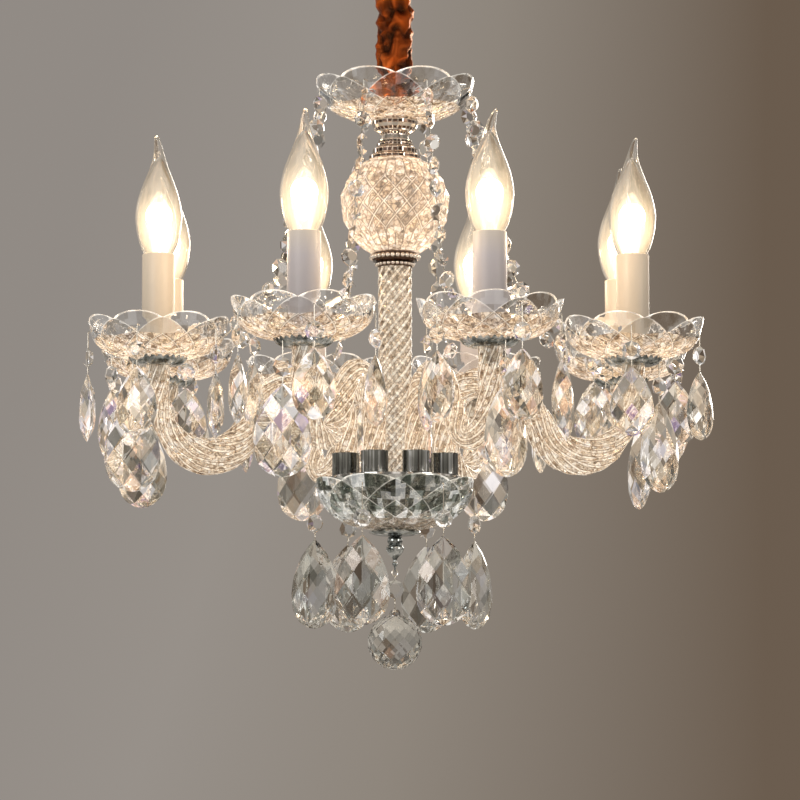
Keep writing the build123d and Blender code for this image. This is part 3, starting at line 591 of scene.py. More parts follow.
# %% The mosaic that all cut glass shares
gathered_light, given, made = node_group(
    "gathered_light", dict.fromkeys(("Scale", "Glow", "Cut", "Facet"), "Float"),
    {"Tint": "Color", "Light": "Color", "Line": "Color", "Height": "Float"}
)
tree = gathered_light
point = object_point(tree)
stir = add(tree, "TexNoise", Vector=point, Scale=260.0, Detail=1.0)
moved = add(tree, "VectorMath", operation="MULTIPLY_ADD")
for socket, value in zip(moved.inputs, (stir.outputs["Color"], (0.004, 0.004, 0.004), point)):
    feed(socket, value)
tones = []
for finer in (1.0, 2.1):
    size = calc(tree, "MULTIPLY", given["Scale"], finer)
    tiles = add(tree, "TexVoronoi", Vector=moved.outputs[0], Scale=size)
    tones.append(add(tree, "SeparateColor", Color=tiles.outputs["Color"]).outputs["Red"])
tone = calc(tree, "ADD", calc(tree, "MULTIPLY", tones[0], 0.6), calc(tree, "MULTIPLY", tones[1], 0.4))
# Painted light and shade: cream, amber and white tiles stand for bulb light that the cuts bend.
tile_light = ramp(tree, tone, (
    (0.08, (0.20, 0.15, 0.11)), (0.90, (1.0, 0.985, 0.96)), (0.18, (0.46, 0.37, 0.28)),
    (0.31, (0.74, 0.64, 0.52)), (0.48, (0.93, 0.84, 0.72)), (0.70, (1.0, 0.94, 0.85)),
))
joints = add(tree, "TexVoronoi", feature="DISTANCE_TO_EDGE", Vector=moved.outputs[0], Scale=given["Scale"])
# Painted shade along the joints between the tiles.
joint_shade = ramp(tree, joints.outputs["Distance"], ((0.02, (0.52, 0.42, 0.34)), (0.09, 1.0)))
# Painted light and shade: each flat is painted a little lighter or darker.
flat_shade = ramp(tree, given["Facet"], (
    (0.0, 1.0), (1.0, 1.0), (0.01, (0.64, 0.60, 0.57)), (0.16, (1.0, 0.98, 0.97)),
    (0.45, (0.86, 0.84, 0.85)), (0.62, (1.0, 0.96, 0.90)), (0.87, (0.78, 0.72, 0.67)),
), "CONSTANT")
tile_light = times(tree, times(tree, tile_light, joint_shade), flat_shade)
# Painted shade just beside each cut.
shade_beside_cut = ramp(tree, given["Cut"], ((0.56, 0.0), (0.84, 0.0), (0.66, 0.8), (0.76, 0.8)))
tile_light = mix(tree, shade_beside_cut, tile_light, (0.20, 0.14, 0.10))
# A painted highlight along each cut, broken by noise.
broken = ramp(tree, cloudy(tree, 150.0, 1.0), ((0.38, 0.35), (0.62, 1.0)))
line = calc(tree, "MULTIPLY", ramp(tree, given["Cut"], ((0.80, 0.0), (0.90, 1.0))), broken)
tile_light = mix(tree, line, tile_light, (1.0, 0.96, 0.88))
light = times(tree, times(tree, tile_light, given["Glow"]), tile_light)
give(made, Tint=tile_light, Light=light, Line=mix(tree, line, (0.0, 0.0, 0.0), (1.0, 0.93, 0.82)), Height=tone)
print("mosaic group has", len(tree.nodes), "nodes")


# %% Cut glass
def placed_mosaic(tree, scale):
    """The shared mosaic in a material, fed with the three numbers of the mesh."""
    numbers = {name: attribute(tree, name.lower()) for name in ("Glow", "Cut", "Facet")}
    return add(tree, "Group", node_tree=gathered_light, Scale=scale, **numbers).outputs


def cut_glass(name, scale, glow, clear, milk=0.0):
    """Lead glass with the mosaic; milk is how far the tiles fade to an even cream."""
    material, tree, shader = surface(
        name, IOR=1.52, Transmission_Weight=clear, Roughness=0.08, Emission_Strength=glow
    )
    mosaic = placed_mosaic(tree, scale)
    give(shader, Base_Color=mix(tree, milk, mosaic["Tint"], (0.97, 0.96, 0.95)),
         Emission_Color=mix(tree, 0.7 * milk, mosaic["Light"], (0.62, 0.55, 0.47)),
         Normal=relief(tree, mosaic["Height"], 0.3, 0.0005))
    print("cut glass", name)
    return material


dish_glass = cut_glass("dish_glass", 250.0, 0.60, 0.84)
arm_glass = cut_glass("arm_glass", 210.0, 0.39, 0.84)
urn_glass = cut_glass("urn_glass", 215.0, 0.71, 0.84, milk=0.14)
column_glass = cut_glass("column_glass", 200.0, 0.22, 0.88)
bowl_glass = cut_glass("bowl_glass", 260.0, 0.05, 0.92)


# %% [markdown]
# Towards a dish's rim, and in the bores, the glass is plain. Its flats are painted lighter or darker
# between two tints, as painted reflections, with soft waves, and a painted glint on a few flats.

# %% Clear glass
def clear_glass(name, shaded_tint, pale, shine, ripple, sparkle):
    """Plain glass with flats painted between two tints as painted reflections, a painted highlight along
    each cut and a painted glint on a few flats.
    """
    material, tree, shader = surface(
        name, IOR=1.50, Transmission_Weight=1.0, Roughness=0.0, Emission_Strength=shine
    )
    facet = attribute(tree, "facet")
    between = tuple((a + b) / 2 for a, b in zip(shaded_tint, pale))
    # Painted reflections: each flat is painted lighter or darker between the two tints.
    painted_flats = ramp(tree, facet, (
        (0.0, pale), (1.0, pale), (0.01, shaded_tint), (0.22, pale), (0.55, between), (0.72, pale),
    ), "CONSTANT")
    # A painted glint on a few flats.
    flash = ramp(tree, facet, (
        (0.0, 0.0), (1.0, 0.0), (0.40, 0.3 * sparkle), (0.50, 0.0), (0.88, sparkle), (0.97, 0.0),
    ), "CONSTANT")
    waves = add(tree, "TexVoronoi", Vector=object_point(tree), Scale=130.0).outputs["Distance"]
    give(shader, Base_Color=painted_flats, Normal=relief(tree, waves, ripple, 0.004),
         Emission_Color=mix(tree, 1.0, placed_mosaic(tree, 300.0)["Line"], flash, "ADD"))
    print("clear glass", name)
    return material


white_glass = clear_glass("white_glass", (0.84, 0.80, 0.75), (1.0, 1.0, 1.0), 0.45, 0.06, 0.2)
# The bowl's dark flats are painted dark reflections of the pan above it.
bowl_clear = clear_glass("bowl_clear", (0.11, 0.135, 0.11), (0.90, 0.91, 0.87), 0.35, 0.12, 0.85)

# %% [markdown]
# ## Scalloped dishes
# The top dish, the eight drip dishes and the bottom bowl are one family: a spun shell, a rim ground
# into eight round petals, and a lattice of V cuts that crosses the outer wall. The lattice follows
# the mesh: a row and column grid is split along the lines where row plus column or row minus column
# is a multiple of the lozenge size, and the vertices on those lines are pushed in. Towards the rim
# the cuts stand twice as far apart and the glass is clear.

# %% Cut dish
petals = 8
tube_hole = 5.4  # radius of the hole for the centre tube, in mm
dish_steps, dish_rows, lozenge, tile_seed = 96, 18, 6, 18


def notch_share(angle):
    """1 in a notch between two petals, 0 at a petal's crown."""
    pitch = 2 * math.pi / petals
    off = abs((angle + pitch / 2) % pitch - pitch / 2) / (pitch / 2)
    return (1 - off) ** 2.2


def cut_dish(outer, inner, scallop, depth, wide_rows, clear_rows, wide_tile=2 * lozenge):
    """A petalled, cut shell. Rows count from the rim, heights are in mm above the hub."""
    wall, lining = smooth_run(outer, dish_rows), smooth_run(inner, dish_rows // 2)
    rim_z, floor_z = outer[-1][1], outer[0][1]
    profile = [(tube_hole, floor_z), (outer[0][0] * 0.62, floor_z), *wall, *lining]
    profile.append((tube_hole, inner[-1][1]))
    rim_row = dish_rows + 2
    bm, grid = lathe(profile, dish_steps, closed=True)
    glow, cut = bm.verts.layers.float["glow"], bm.verts.layers.float["cut"]
    row_of = bm.verts.layers.int["row"]
    on_line = []
    for vert, row, column in grid:
        share = max(0.0, (vert.co.z / MM - floor_z) / (rim_z - floor_z))
        dip = notch_share(math.atan2(vert.co.y, vert.co.x))
        down = rim_row - row
        if 0 <= down <= dish_rows:
            pitch = 2 * lozenge if down < wide_rows else lozenge
            aslant = (down + column, -down - column, down - column, column - down)
            near = min(steps % pitch for steps in aslant)
            lift = -depth if near == 0 else 0.36 * depth * near / lozenge
            slope = min(1.0, 0.35 + share)
            push(vert, out=lift * slope, up=-lift * (1 - slope))
            if near == 0:
                on_line.append(vert)
                vert[cut] = 1.0
        vert[glow] = 1.0 - 0.55 * min(1.0, share * 1.2) if down >= 0 else 0.0
        # The two rim rows carry cut 0.9: a painted highlight along the rim.
        if down in (0, -1):
            vert[cut] = 0.9
        push(vert, out=(0.7 - 1.6 * dip) * share**2, up=-scallop * dip * share**1.6)
    for face in bm.faces:
        if min(vert[row_of] for vert in face.verts) >= rim_row - clear_rows:
            face.material_index = 1
    bmesh.ops.connect_verts(bm, verts=on_line)
    number_tiles(bm, dish_steps, tile_seed, rim_row,
                 lambda down: wide_tile if 0 <= down < wide_rows else lozenge)
    return bm


dish_outer = [(20.0, 270.0), (33.0, 271.6), (44.0, 275.6), (52.0, 281.6), (57.0, 289.6), (59.6, 300.0)]
dish_inner = [(56.6, 299.8), (54.0, 290.8), (49.8, 284.4), (42.6, 279.0), (32.2, 275.2), (19.6, 273.8)]
bm = cut_dish(dish_outer, dish_inner, scallop=5.0, depth=0.9, wide_rows=8, clear_rows=8)
dish_pair = [dish_glass, white_glass]
make_piece("top_dish_cut", move(bm, standing()), dish_pair, "cut_glass", "top_dish", sharp=16)


# %% [markdown]
# The drip dishes tell where the candles stand. Each dish is turned a little differently, so that its
# drops hang as in the photograph. Whatever comes once to an arm is placed by the same loop.

# %% Drip dishes
def on_every_arm(pattern, matrices, name, materials, slot, node, sharp, own_body=False):
    """A piece of its own on every arm, all from one pattern."""
    for number, matrix in enumerate(matrices, 1):
        stands_for = f"{node}_{number}"
        body = stands_for if own_body else "fixture"
        bm = move(pattern.copy(), matrix)
        make_piece(f"{name}_{number}", bm, materials, slot, stands_for, body, sharp)
    pattern.free()


candle_places = []
for number in range(1, arm_count + 1):
    low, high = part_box(f"bobeche_{number}")
    candle_places.append(((low.x + high.x) / 2 / MM, (low.y + high.y) / 2 / MM))
print("candles at", [(round(x, 1), round(y, 1)) for x, y in candle_places])

drip_outer = [
    (19.0, 81.2), (28.0, 82.4), (37.0, 85.6), (43.6, 90.4), (47.4, 96.0), (49.6, 102.6), (51.0, 110.0),
]
drip_inner = [
    (48.1, 109.8), (46.6, 103.4), (44.6, 97.4), (41.4, 92.6), (35.8, 88.5), (27.4, 85.6), (18.8, 84.4),
]
drop_turns = (294.0, 264.6, 37.0, 285.4, 326.6, 217.0, 256.0, 279.0)
placed = [standing(x, y, math.radians(drop_turns[k] + 11.0 * k)) for k, (x, y) in enumerate(candle_places)]
pattern = cut_dish(drip_outer, drip_inner, scallop=5.0, depth=0.8, wide_rows=6, clear_rows=6)
on_every_arm(pattern, placed, "bobeche_cut", dish_pair, "cut_glass", "bobeche", sharp=16)

# %% Bottom bowl
bowl_outer = [(20.0, -38.2), (34.0, -35.0), (45.5, -28.5), (53.2, -20.0), (57.6, -10.0), (58.7, -1.5)]
bowl_inner = [(55.8, -1.7), (54.6, -9.4), (50.6, -18.2), (43.7, -25.9), (33.0, -31.9), (19.6, -35.2)]
bm = cut_dish(bowl_outer, bowl_inner, 4.0, 1.7, wide_rows=6, clear_rows=12, wide_tile=lozenge)
bowl_pair = [bowl_glass, bowl_clear]
make_piece("bottom_bowl_cut", move(bm, standing()), bowl_pair, "cut_glass", "bottom_bowl", sharp=16)

# %% [markdown]
# ## Urn
# The urn is blown and then cut: fan flutes below, two rows of large pyramid lozenges round the belly,
# fourteen to a row, and flutes again on the shoulder. On a grid with four columns to a lozenge, the
# cut lines are pushed in, the middle of a lozenge is pushed out, and one split makes crisp pyramids.

# %% Urn
urn_line = [
    (18.7, 169.0), (25.6, 174.4), (31.4, 181.4), (35.9, 189.6), (38.6, 196.6), (39.9, 205.8), (39.2, 213.0),
    (36.4, 221.0), (31.6, 229.0), (26.8, 234.8), (18.7, 238.8),
]
urn_inside = [
    (18.0, 233.6), (27.6, 225.4), (32.2, 217.0), (35.0, 206.0), (33.6, 195.0), (28.0, 183.0), (17.0, 174.0),
]
urn_rows = smooth_run(urn_line, 17)
urn_columns, pyramid, first_cut, last_cut, urn_seed = 56, 4, 5, 13, 3
mouth = [(tube_hole, 238.8), (tube_hole, 233.6)]
profile = [(tube_hole, 169.0), *urn_rows, *mouth, *urn_inside, (tube_hole, 174.0)]
bm, grid = lathe(profile, urn_columns, closed=True)
glow, cut = bm.verts.layers.float["glow"], bm.verts.layers.float["cut"]
corners = []
for vert, row, column in grid:
    belly = first_cut <= row <= last_cut
    rising, falling = (row - first_cut + column) % pyramid, (row - first_cut - column) % pyramid
    if belly and 0 in (rising, falling):
        push(vert, out=-0.8)
        corners.append(vert)
        vert[cut] = 0.94
    elif belly and rising == falling == pyramid // 2:
        push(vert, out=1.4)
        # Two of three pyramid points carry a painted highlight.
        vert[cut] = 0.87 if column % 3 else 0.0
    elif belly:
        push(vert, out=-0.2 if column % 2 else 0.5)
    elif 1 < row < len(urn_rows):
        push(vert, out=0.8 if column % 2 else -0.8)
        # Every second flute line carries painted shade.
        vert[cut] = 0.0 if column % 2 else 0.72
    if 1 <= row <= len(urn_rows):
        vert[glow] = 0.75 if belly else 1.0
bmesh.ops.connect_verts(bm, verts=corners)
number_tiles(bm, urn_columns, urn_seed, first_cut, lambda down: pyramid)
make_piece("urn_cut", move(bm, standing()), [urn_glass], "cut_glass", "urn", sharp=14)

# %% [markdown]
# ## Twisted glass
# The column and the arms are rope glass: a hot rod with rounded ribs is twisted as it is drawn. The
# column is a ribbed ring that is pushed up step by step and turned a little at each step. Its bore
# is ribbed as well and turns the other way.

# %% Twisted column
ribs, rib_points = 10, 6
column_rise, column_steps = 157.6, 96
column_r, rib_depth = 12.7, 1.9
bore_r, bore_depth = 7.2, 0.9


def ribbed(radius, depth):
    """Plan points of a ribbed section, rounded outside with sharp valleys."""
    count = ribs * rib_points
    angles = [2 * math.pi * number / count for number in range(count)]
    return [polar(radius - depth * (1 - abs(math.cos(ribs * angle / 2))), angle) for angle in angles]


def drawn_rod(section, twist):
    """Push a closed section up in steps and turn it as it goes."""
    bm = bmesh.new()
    ring = [bm.verts.new((x * MM, y * MM, 0)) for x, y in section]
    edges = [bm.edges.new((ring[k - 1], ring[k])) for k in range(len(ring))]
    bm.faces.new(ring)
    for _ in range(column_steps):
        drawn = bmesh.ops.extrude_edge_only(bm, edges=edges)["geom"]
        edges = [item for item in drawn if isinstance(item, bmesh.types.BMEdge)]
        moved = [item for item in drawn if isinstance(item, bmesh.types.BMVert)]
        bmesh.ops.translate(bm, vec=(0, 0, column_rise / column_steps * MM), verts=moved)
        bmesh.ops.rotate(bm, matrix=Matrix.Rotation(twist / column_steps, 3, "Z"), verts=moved)
    bmesh.ops.contextual_create(bm, geom=edges)
    bmesh.ops.recalc_face_normals(bm, faces=bm.faces)
    return bm


def on_crest(vert, radius, depth):
    """1 on a rib's crest, 0 in the valley beside it."""
    return (plan_radius(vert) - radius + depth) / depth


rod = drawn_rod(ribbed(column_r, rib_depth), math.radians(620))
bore = drawn_rod(ribbed(bore_r, bore_depth), math.radians(-560))
bmesh.ops.reverse_faces(bore, faces=bore.faces)
write_on(rod, "glow", lambda vert: 0.02 + 1.1 * on_crest(vert, column_r, rib_depth))
# On the rod and the bore, the mosaic turns a rib's crest into a painted highlight and its flank into painted
# shade.
write_on(rod, "cut", lambda vert: on_crest(vert, column_r, rib_depth))
write_on(bore, "glow", lambda vert: 0.0)
write_on(bore, "cut", lambda vert: on_crest(vert, bore_r, bore_depth))
bm = move(together(rod, bore), standing(up=0.1))
make_piece("column_twisted", bm, [column_glass, white_glass], "cut_glass", "column", sharp=50)

# %% [markdown]
# ## Arms
# An arm rises from its cup, goes over a hump, slopes down, and turns up under its candle in a deep
# U. It is a curve with a ribbed section as its bevel, and the curve's tilt twists the ribs. The route
# is the frame's: straight, arc, straight, arc, straight. The wire's bore runs through it, and its
# wall is what gives the long bright lines along the bend.

# %% Arm route
cup_ring, hump_r, hump_top, bend_r, bend_low = 39.6, 34.0, 72.0, 36.0, 15.5
arm_foot, arm_head = 1.6, 75.7
cup_places = [polar(cup_ring, math.radians(-67.5 + 45 * k)) for k in range(arm_count)]
arm_reach = math.dist(candle_places[0], cup_places[0])


def arm_route():
    """Points (out, up) in mm along an arm's centre line, a few degrees apart."""
    hump = np.array([hump_r, hump_top - hump_r])
    bend = np.array([arm_reach - bend_r, bend_low + bend_r])
    gap = bend - hump
    lean = math.atan2(gap[1], gap[0]) + math.acos((hump_r + bend_r) / np.linalg.norm(gap))
    over = [hump + polar(hump_r, angle) for angle in np.linspace(math.pi, lean, 28)]
    start, end = over[-1], bend - polar(bend_r, lean)
    slope = [start + (end - start) * share for share in (0.25, 0.5, 0.75)]
    under = [bend + polar(bend_r, angle) for angle in np.linspace(lean + math.pi, 2 * math.pi, 44)]
    foot = [(0.0, height) for height in (arm_foot, 14.0, 26.0)]
    head = [(arm_reach, height) for height in (57.0, 63.0, 69.0, arm_head)]
    return [tuple(point) for point in (*foot, *over, *slope, *under, *head)]


route = arm_route()
print("arm reaches", round(arm_reach, 1), "mm with", len(route), "points")


# %% Arm mesh
def swept(section, twist_per_mm):
    """A closed tube of a section along the arm's route, twisted by the curve's tilt."""
    shape, _ = curve_through([(x, y, 0) for x, y in section])
    shape.splines[0].use_cyclic_u = True
    cutter = bpy.data.objects.new("section", shape)
    curve, places = curve_through([(out, 0, up) for out, up in route])
    curve.twist_mode, curve.bevel_mode, curve.bevel_object = "MINIMUM", "OBJECT", cutter
    gone = 0.0
    for place, before, here in zip(places, [route[0], *route], route):
        gone += math.dist(before, here)
        place.tilt = gone * twist_per_mm
    return mesh_of_curve(curve, cutter)


arm_r, arm_rib_depth, wire_hole_r = 8.75, 1.35, 4.6
outside = swept(ribbed(arm_r, arm_rib_depth), math.radians(2.4))
inside = swept([polar(wire_hole_r, k * math.pi / 8) for k in range(16)], 0.0)
bmesh.ops.reverse_faces(inside, faces=inside.faces)
centre_line = np.array([(out, 0.0, up) for out, up in route])
dashes = random.Random(5)


def crest_share(vert):
    """As on_crest, but from the arm's centre line, and broken into dashes."""
    legs = centre_line[1:] - centre_line[:-1]
    away = np.array(vert.co) / MM - centre_line[:-1]
    along_leg = np.clip((away * legs).sum(1) / (legs * legs).sum(1), 0, 1)
    off = np.linalg.norm(away - legs * along_leg[:, None], axis=1).min()
    share = np.clip((off - arm_r + arm_rib_depth) / arm_rib_depth, 0, 1)
    return float(share * (0.84 + 0.16 * dashes.random()))


# As on the column, a rib's crest gets a painted highlight and its flank painted shade.
write_on(outside, "cut", crest_share)
write_on(outside, "glow", lambda vert: 0.25 + crest_share(vert))
for layer in ("glow", "cut"):
    write_on(inside, layer, lambda vert: 0.0)
placed = [standing(*cup, math.atan2(candle[1] - cup[1], candle[0] - cup[0]))
          for cup, candle in zip(cup_places, candle_places)]
on_every_arm(together(outside, inside), placed, "arm_twisted", [arm_glass, white_glass], "cut_glass", "arm",
             sharp=50)

# %% [markdown]
# ## Metal of the centre
# The neck under the top dish is cast and turned in tiers, and each tier's edge is milled into small
# blocks: a row of faces is inset and sunk, and its floor gets a dark metal, painted shade in the
# recess. The collar under the urn is a dark core, painted shade between the beads, with two rings of
# plated beads.

# %% Neck
neck_rows = [
    (tube_hole, 238.9), (18.7, 238.9), (19.6, 239.4), (19.6, 242.0), (18.6, 242.5), (15.6, 242.9),
    (16.8, 243.6), (16.8, 247.2), (15.4, 248.0), (12.8, 248.5), (13.9, 249.2), (13.9, 251.2), (13.0, 251.7),
    (12.6, 253.8),
    (10.4, 254.6), (10.0, 257.4), (11.6, 259.4), (13.8, 260.6), (16.0, 263.0), (17.1, 265.4), (17.3, 268.4),
    (16.4, 269.9), (tube_hole, 269.9),
]
neck_steps, sunk_rows = 26, (2, 6, 10, 12, 15, 17, 19)
bm, _ = lathe(neck_rows, neck_steps, closed=True)
row_of = bm.verts.layers.int["row"]
blocks = [face for face in bm.faces
          if {vert[row_of] for vert in face.verts} in [{row, row + 1} for row in sunk_rows]]
bmesh.ops.inset_individual(bm, faces=blocks, thickness=0.55 * MM, depth=-0.4 * MM, use_even_offset=True)
for face in blocks:
    face.material_index = 1
make_piece("neck_milled", move(bm, standing()), [cast_nickel, recess_shade], "chrome", "neck_pedestal")

# %% Collar of beads
collar_rows = [
    (tube_hole, 157.9), (13.0, 157.9), (13.4, 158.8), (13.4, 161.2), (13.0, 161.9), (16.6, 162.4),
    (17.0, 163.2), (17.0, 167.2), (16.6, 168.3), (15.2, 168.9), (tube_hole, 168.9),
]
core, _ = lathe(collar_rows, 60, closed=True)
beaded = bmesh.new()
for count, ring_r, bead_r, level in ((30, 17.6, 1.8, 165.3), (26, 13.6, 1.55, 160.0)):
    for number in range(count):
        spot = Vector((*polar(ring_r, 2 * math.pi * number / count), level)) * MM
        place = Matrix.Translation(spot)
        bmesh.ops.create_icosphere(beaded, subdivisions=2, radius=bead_r * MM, matrix=place)
bm = move(together(core, beaded), standing())
make_piece("collar_beaded", bm, [recess_shade, bead_nickel], "chrome", "collar_ring", sharp=40)

# %% [markdown]
# Below the bowl a flat cap closes the stack, and a small turned finial ends in an eye for the ball.

# %% Bottom cap and finial
cap_rows = [
    (tube_hole, -43.6), (9.0, -43.6), (14.0, -42.9), (18.4, -41.7), (19.2, -40.9), (19.0, -40.0),
    (16.0, -38.7), (tube_hole, -38.7),
]
cap, _ = lathe(cap_rows, 64, closed=True)
make_piece("bottom_cap_turned", move(cap, standing()), [dark_room_reflection_chrome], "chrome", "bottom_cap", sharp=40)

finial_line = smooth_run([
    (0.02, -66.4), (1.5, -65.8), (2.1, -64.2), (1.4, -61.8), (2.2, -59.6), (4.4, -57.4), (6.2, -54.6),
    (6.6, -52.4), (5.6, -50.4), (4.4, -49.6), (5.4, -48.4), (5.6, -46.8), (5.2, -44.8), (4.2, -43.7),
], 44)
finial, _ = lathe([(0, -66.4), *finial_line[1:], (3.0, -43.7), (3.0, -34.0), (0, -34.0)], 48)
eye = wire_ring(1.8, 0.6, sides=10, steps=28)
move(eye, Matrix.Translation((0, 0, -68.0 * MM)) @ Matrix.Rotation(math.pi / 2, 4, "Y"))
bm = move(together(finial, eye), standing())
make_piece("finial_turned", bm, [dark_room_reflection_chrome, dark_room_reflection_chrome], "chrome", "finial", sharp=40)


# %% [markdown]
# ## Cups and ruffs
# Each arm stands in a drawn cup with a rolled lip. Under each drip dish sits a pressed chrome ruff:
# a thin collar pleated like a bottle top, with its points turned up.

# %% Cups
def at_places(pattern, places):
    """One mesh with the pattern at every plan place."""
    bm = repeated(pattern, [standing(x, y) for x, y in places])
    pattern.free()
    return bm


cup_rows = [
    (3.2, 0.0), (9.2, 0.0), (9.9, 0.5), (10.0, 1.2), (10.0, 15.4), (10.25, 15.9), (10.3, 16.4), (9.9, 16.7),
    (9.3, 16.4), (9.2, 15.4), (9.2, 1.6), (8.8, 1.2), (3.2, 1.2),
]
pattern, _ = lathe(cup_rows, 48, closed=True)
bm = at_places(pattern, cup_places)
make_piece("arm_cups_drawn", bm, [reflection_streak_chrome], "chrome", "arm_cups", sharp=35)

# %% Ruffs
ruff_rows = [
    (tube_hole, 75.8), (12.0, 75.8), (15.0, 76.5), (18.0, 77.8), (20.2, 79.6), (21.4, 81.2), (20.6, 81.0),
    (19.4, 79.8), (17.4, 78.7), (14.8, 77.5), (12.0, 77.0), (9.4, 77.0), (8.8, 77.6), (8.8, 81.0),
    (tube_hole, 81.0),
]
pleats, pleat_steps = 26, 6
pattern, grid = lathe(ruff_rows, pleats * pleat_steps, closed=True)
for vert, row, column in grid:
    if 2 <= row <= 9:
        wave = math.cos(2 * math.pi * column / pleat_steps)
        reach = min(1.0, (plan_radius(vert) - 12.0) / 9.0)
        push(vert, out=0.9 * wave * reach, up=1.3 * wave * reach)
bm = at_places(pattern, candle_places)
make_piece("ruffs_pleated", bm, [dark_room_reflection_chrome], "chrome", "bobeche_ruffs", sharp=45)

# %% [markdown]
# ## Candles
# The candle sleeve is a white card or plastic tube over the lampholder. It isn't pure white: painted
# warm light from the bulb makes it lighter and warmer towards the top, it is creamier on the outer
# candles, it is darker in patches along its ripples, and it has a slight waxy gloss and ripples.

# %% Candle sleeves
candle_white, tree, shader = surface("candle_white", Roughness=0.42, Specular_IOR_Level=0.4)
# Painted light: lighter and warmer towards the top, where the bulb shines on it.
warm = ramp(tree, rise_of(tree, 84, 158), (
    (0.0, (0.73, 0.65, 0.63)), (1.0, (0.90, 0.80, 0.70)), (0.75, (0.77, 0.70, 0.71)),
))
sideways = add(tree, "SeparateXYZ", Vector=object_point(tree)).outputs["X"]
either_side = calc(tree, "ABSOLUTE", sideways, 0.0)
outer = add(tree, "MapRange", Value=either_side, From_Min=0.10, From_Max=0.17).outputs[0]
warm = mix(tree, outer, warm, (1.0, 0.84, 0.66))
ripple = cloudy(tree, 220.0, 3.0, stretch=(1, 1, 0.25))
# Darker in patches that follow the ripple noise.
ripple_darkened = mix(tree, ramp(tree, ripple, ((0.4, 0.0), (0.75, 0.12))), warm, (0.70, 0.62, 0.55))
give(shader, Base_Color=ripple_darkened, Normal=relief(tree, ripple, 0.25, 0.0004))

sleeve_rows = [
    (11.6, 84.6), (12.0, 85.0), (12.0, 110.0), (12.0, 134.0), (12.0, 156.9), (11.8, 157.5), (11.5, 157.6),
    (11.1, 157.3), (11.0, 156.8), (11.0, 120.0), (11.0, 84.6),
]
pattern, _ = lathe(sleeve_rows, 64, closed=True)
bm = at_places(pattern, candle_places)
make_piece("candles_white", bm, [candle_white], "candle_white", "candle_sleeves", sharp=40)

# %% [markdown]
# ## Flame bulbs
# A bulb is a brass screw cap, a thin blown envelope drawn out to a bent tail, and a filament. Lit,
# the filament outshines the rest: the middle is white and the glass round it turns cream. A shape
# just inside the glass holds that glow, see-through at its edge and at the top. A small lamp in each
# bulb lights the glass and candles near it.

# %% Bulb materials
bulb_glass, tree, shader = surface(
    "bulb_glass", IOR=1.45, Transmission_Weight=1.0, Roughness=0.0, Emission_Strength=0.12
)
streak = cloudy(tree, 1.0, 2.0, stretch=(420, 420, 22))
lit = ramp(tree, rise_of(tree, 156, 245), (
    (0.0, (1.0, 0.78, 0.52)), (1.0, (0.16, 0.12, 0.08)), (0.45, (1.0, 0.80, 0.54)),
    (0.75, (0.50, 0.37, 0.23)),
))
give(shader, Emission_Color=times(tree, lit, ramp(tree, streak, ((0.38, 0.45), (0.62, 1.0)))),
     Base_Color=ramp(tree, streak, ((0.3, (1.0, 0.98, 0.95)), (0.7, 1.0))))

bulb_light, tree, shader = surface(
    "bulb_light", Roughness=0.5, IOR=1.0, Base_Color=(0.2, 0.17, 0.12), Emission_Strength=1.1
)
facing = add(tree, "LayerWeight", Blend=0.5).outputs["Facing"]
soft = ramp(tree, facing, (
    (0.0, 0.84), (1.0, 0.0), (0.05, 0.62), (0.14, 0.38), (0.30, 0.25), (0.55, 0.17), (0.85, 0.08),
))
upper = ramp(tree, rise_of(tree, 156, 228), (
    (0.0, 1.0), (1.0, 0.02), (0.28, 0.95), (0.46, 0.42), (0.68, 0.11),
))
warmth = ramp(tree, facing, (
    (0.0, (1.0, 0.95, 0.85)), (1.0, (1.0, 0.70, 0.40)), (0.2, (1.0, 0.88, 0.68)), (0.5, (1.0, 0.78, 0.52)),
))
give(shader, Alpha=times(tree, soft, upper), Emission_Color=warmth)

filament, tree, shader = surface("filament", Roughness=0.5, Emission_Strength=4.0)
hot = cloudy(tree, 400.0, 1.0)
give(shader, Emission_Color=ramp(tree, hot, ((0.3, (1.0, 0.80, 0.50)), (0.6, (1.0, 0.95, 0.85)))),
     Base_Color=ramp(tree, hot, ((0.3, (0.9, 0.8, 0.6)), (0.6, (1.0, 0.9, 0.8)))))
print("bulb materials:", bulb_glass.name, bulb_light.name, filament.name)

# %% Bulb shapes
envelope = smooth_run([
    (9.6, 155.0), (10.9, 158.6), (13.6, 164.4), (16.0, 173.4), (17.2, 183.0), (16.8, 191.0), (14.6, 201.0),
    (11.4, 210.0), (8.2, 218.0), (5.4, 226.0), (3.6, 233.0), (2.6, 239.0), (1.7, 243.6), (0.8, 245.0),
], 44)
hollow = smooth_run([
    (0.05, 230.0), (2.0, 227.0), (4.4, 222.0), (7.2, 216.0), (10.6, 208.5), (13.8, 200.0), (15.9, 191.0),
    (16.3, 183.0), (15.1, 173.6), (12.7, 164.9), (10.0, 159.2), (8.8, 155.8),
], 32)
glow_line = smooth_run([
    (6.0, 156.4), (9.4, 160.0), (12.4, 166.0), (14.9, 174.4), (15.8, 183.0), (15.3, 191.0), (13.2, 200.0),
    (10.0, 208.5), (6.7, 216.0), (3.9, 222.0), (1.4, 226.6),
], 32)
wick_line = smooth_run([(1.6, 166.0), (3.4, 171.0), (3.8, 180.0), (3.0, 189.0), (1.2, 195.0)], 12)
screw = [(0, 134.0), (2.4, 134.0), (2.6, 135.0), (6.2, 137.2)]
thread_turns, thread_pitch = 5, 2.9
for number in range(thread_turns):
    low = 138.0 + thread_pitch * number
    screw += [(6.4, low), (6.95, low + 1.0), (6.95, low + 1.6), (6.4, low + 2.6)]
glass, _ = lathe([*envelope, (0, 245.2), (0, 230.0), *hollow[1:]], 40, closed=True)
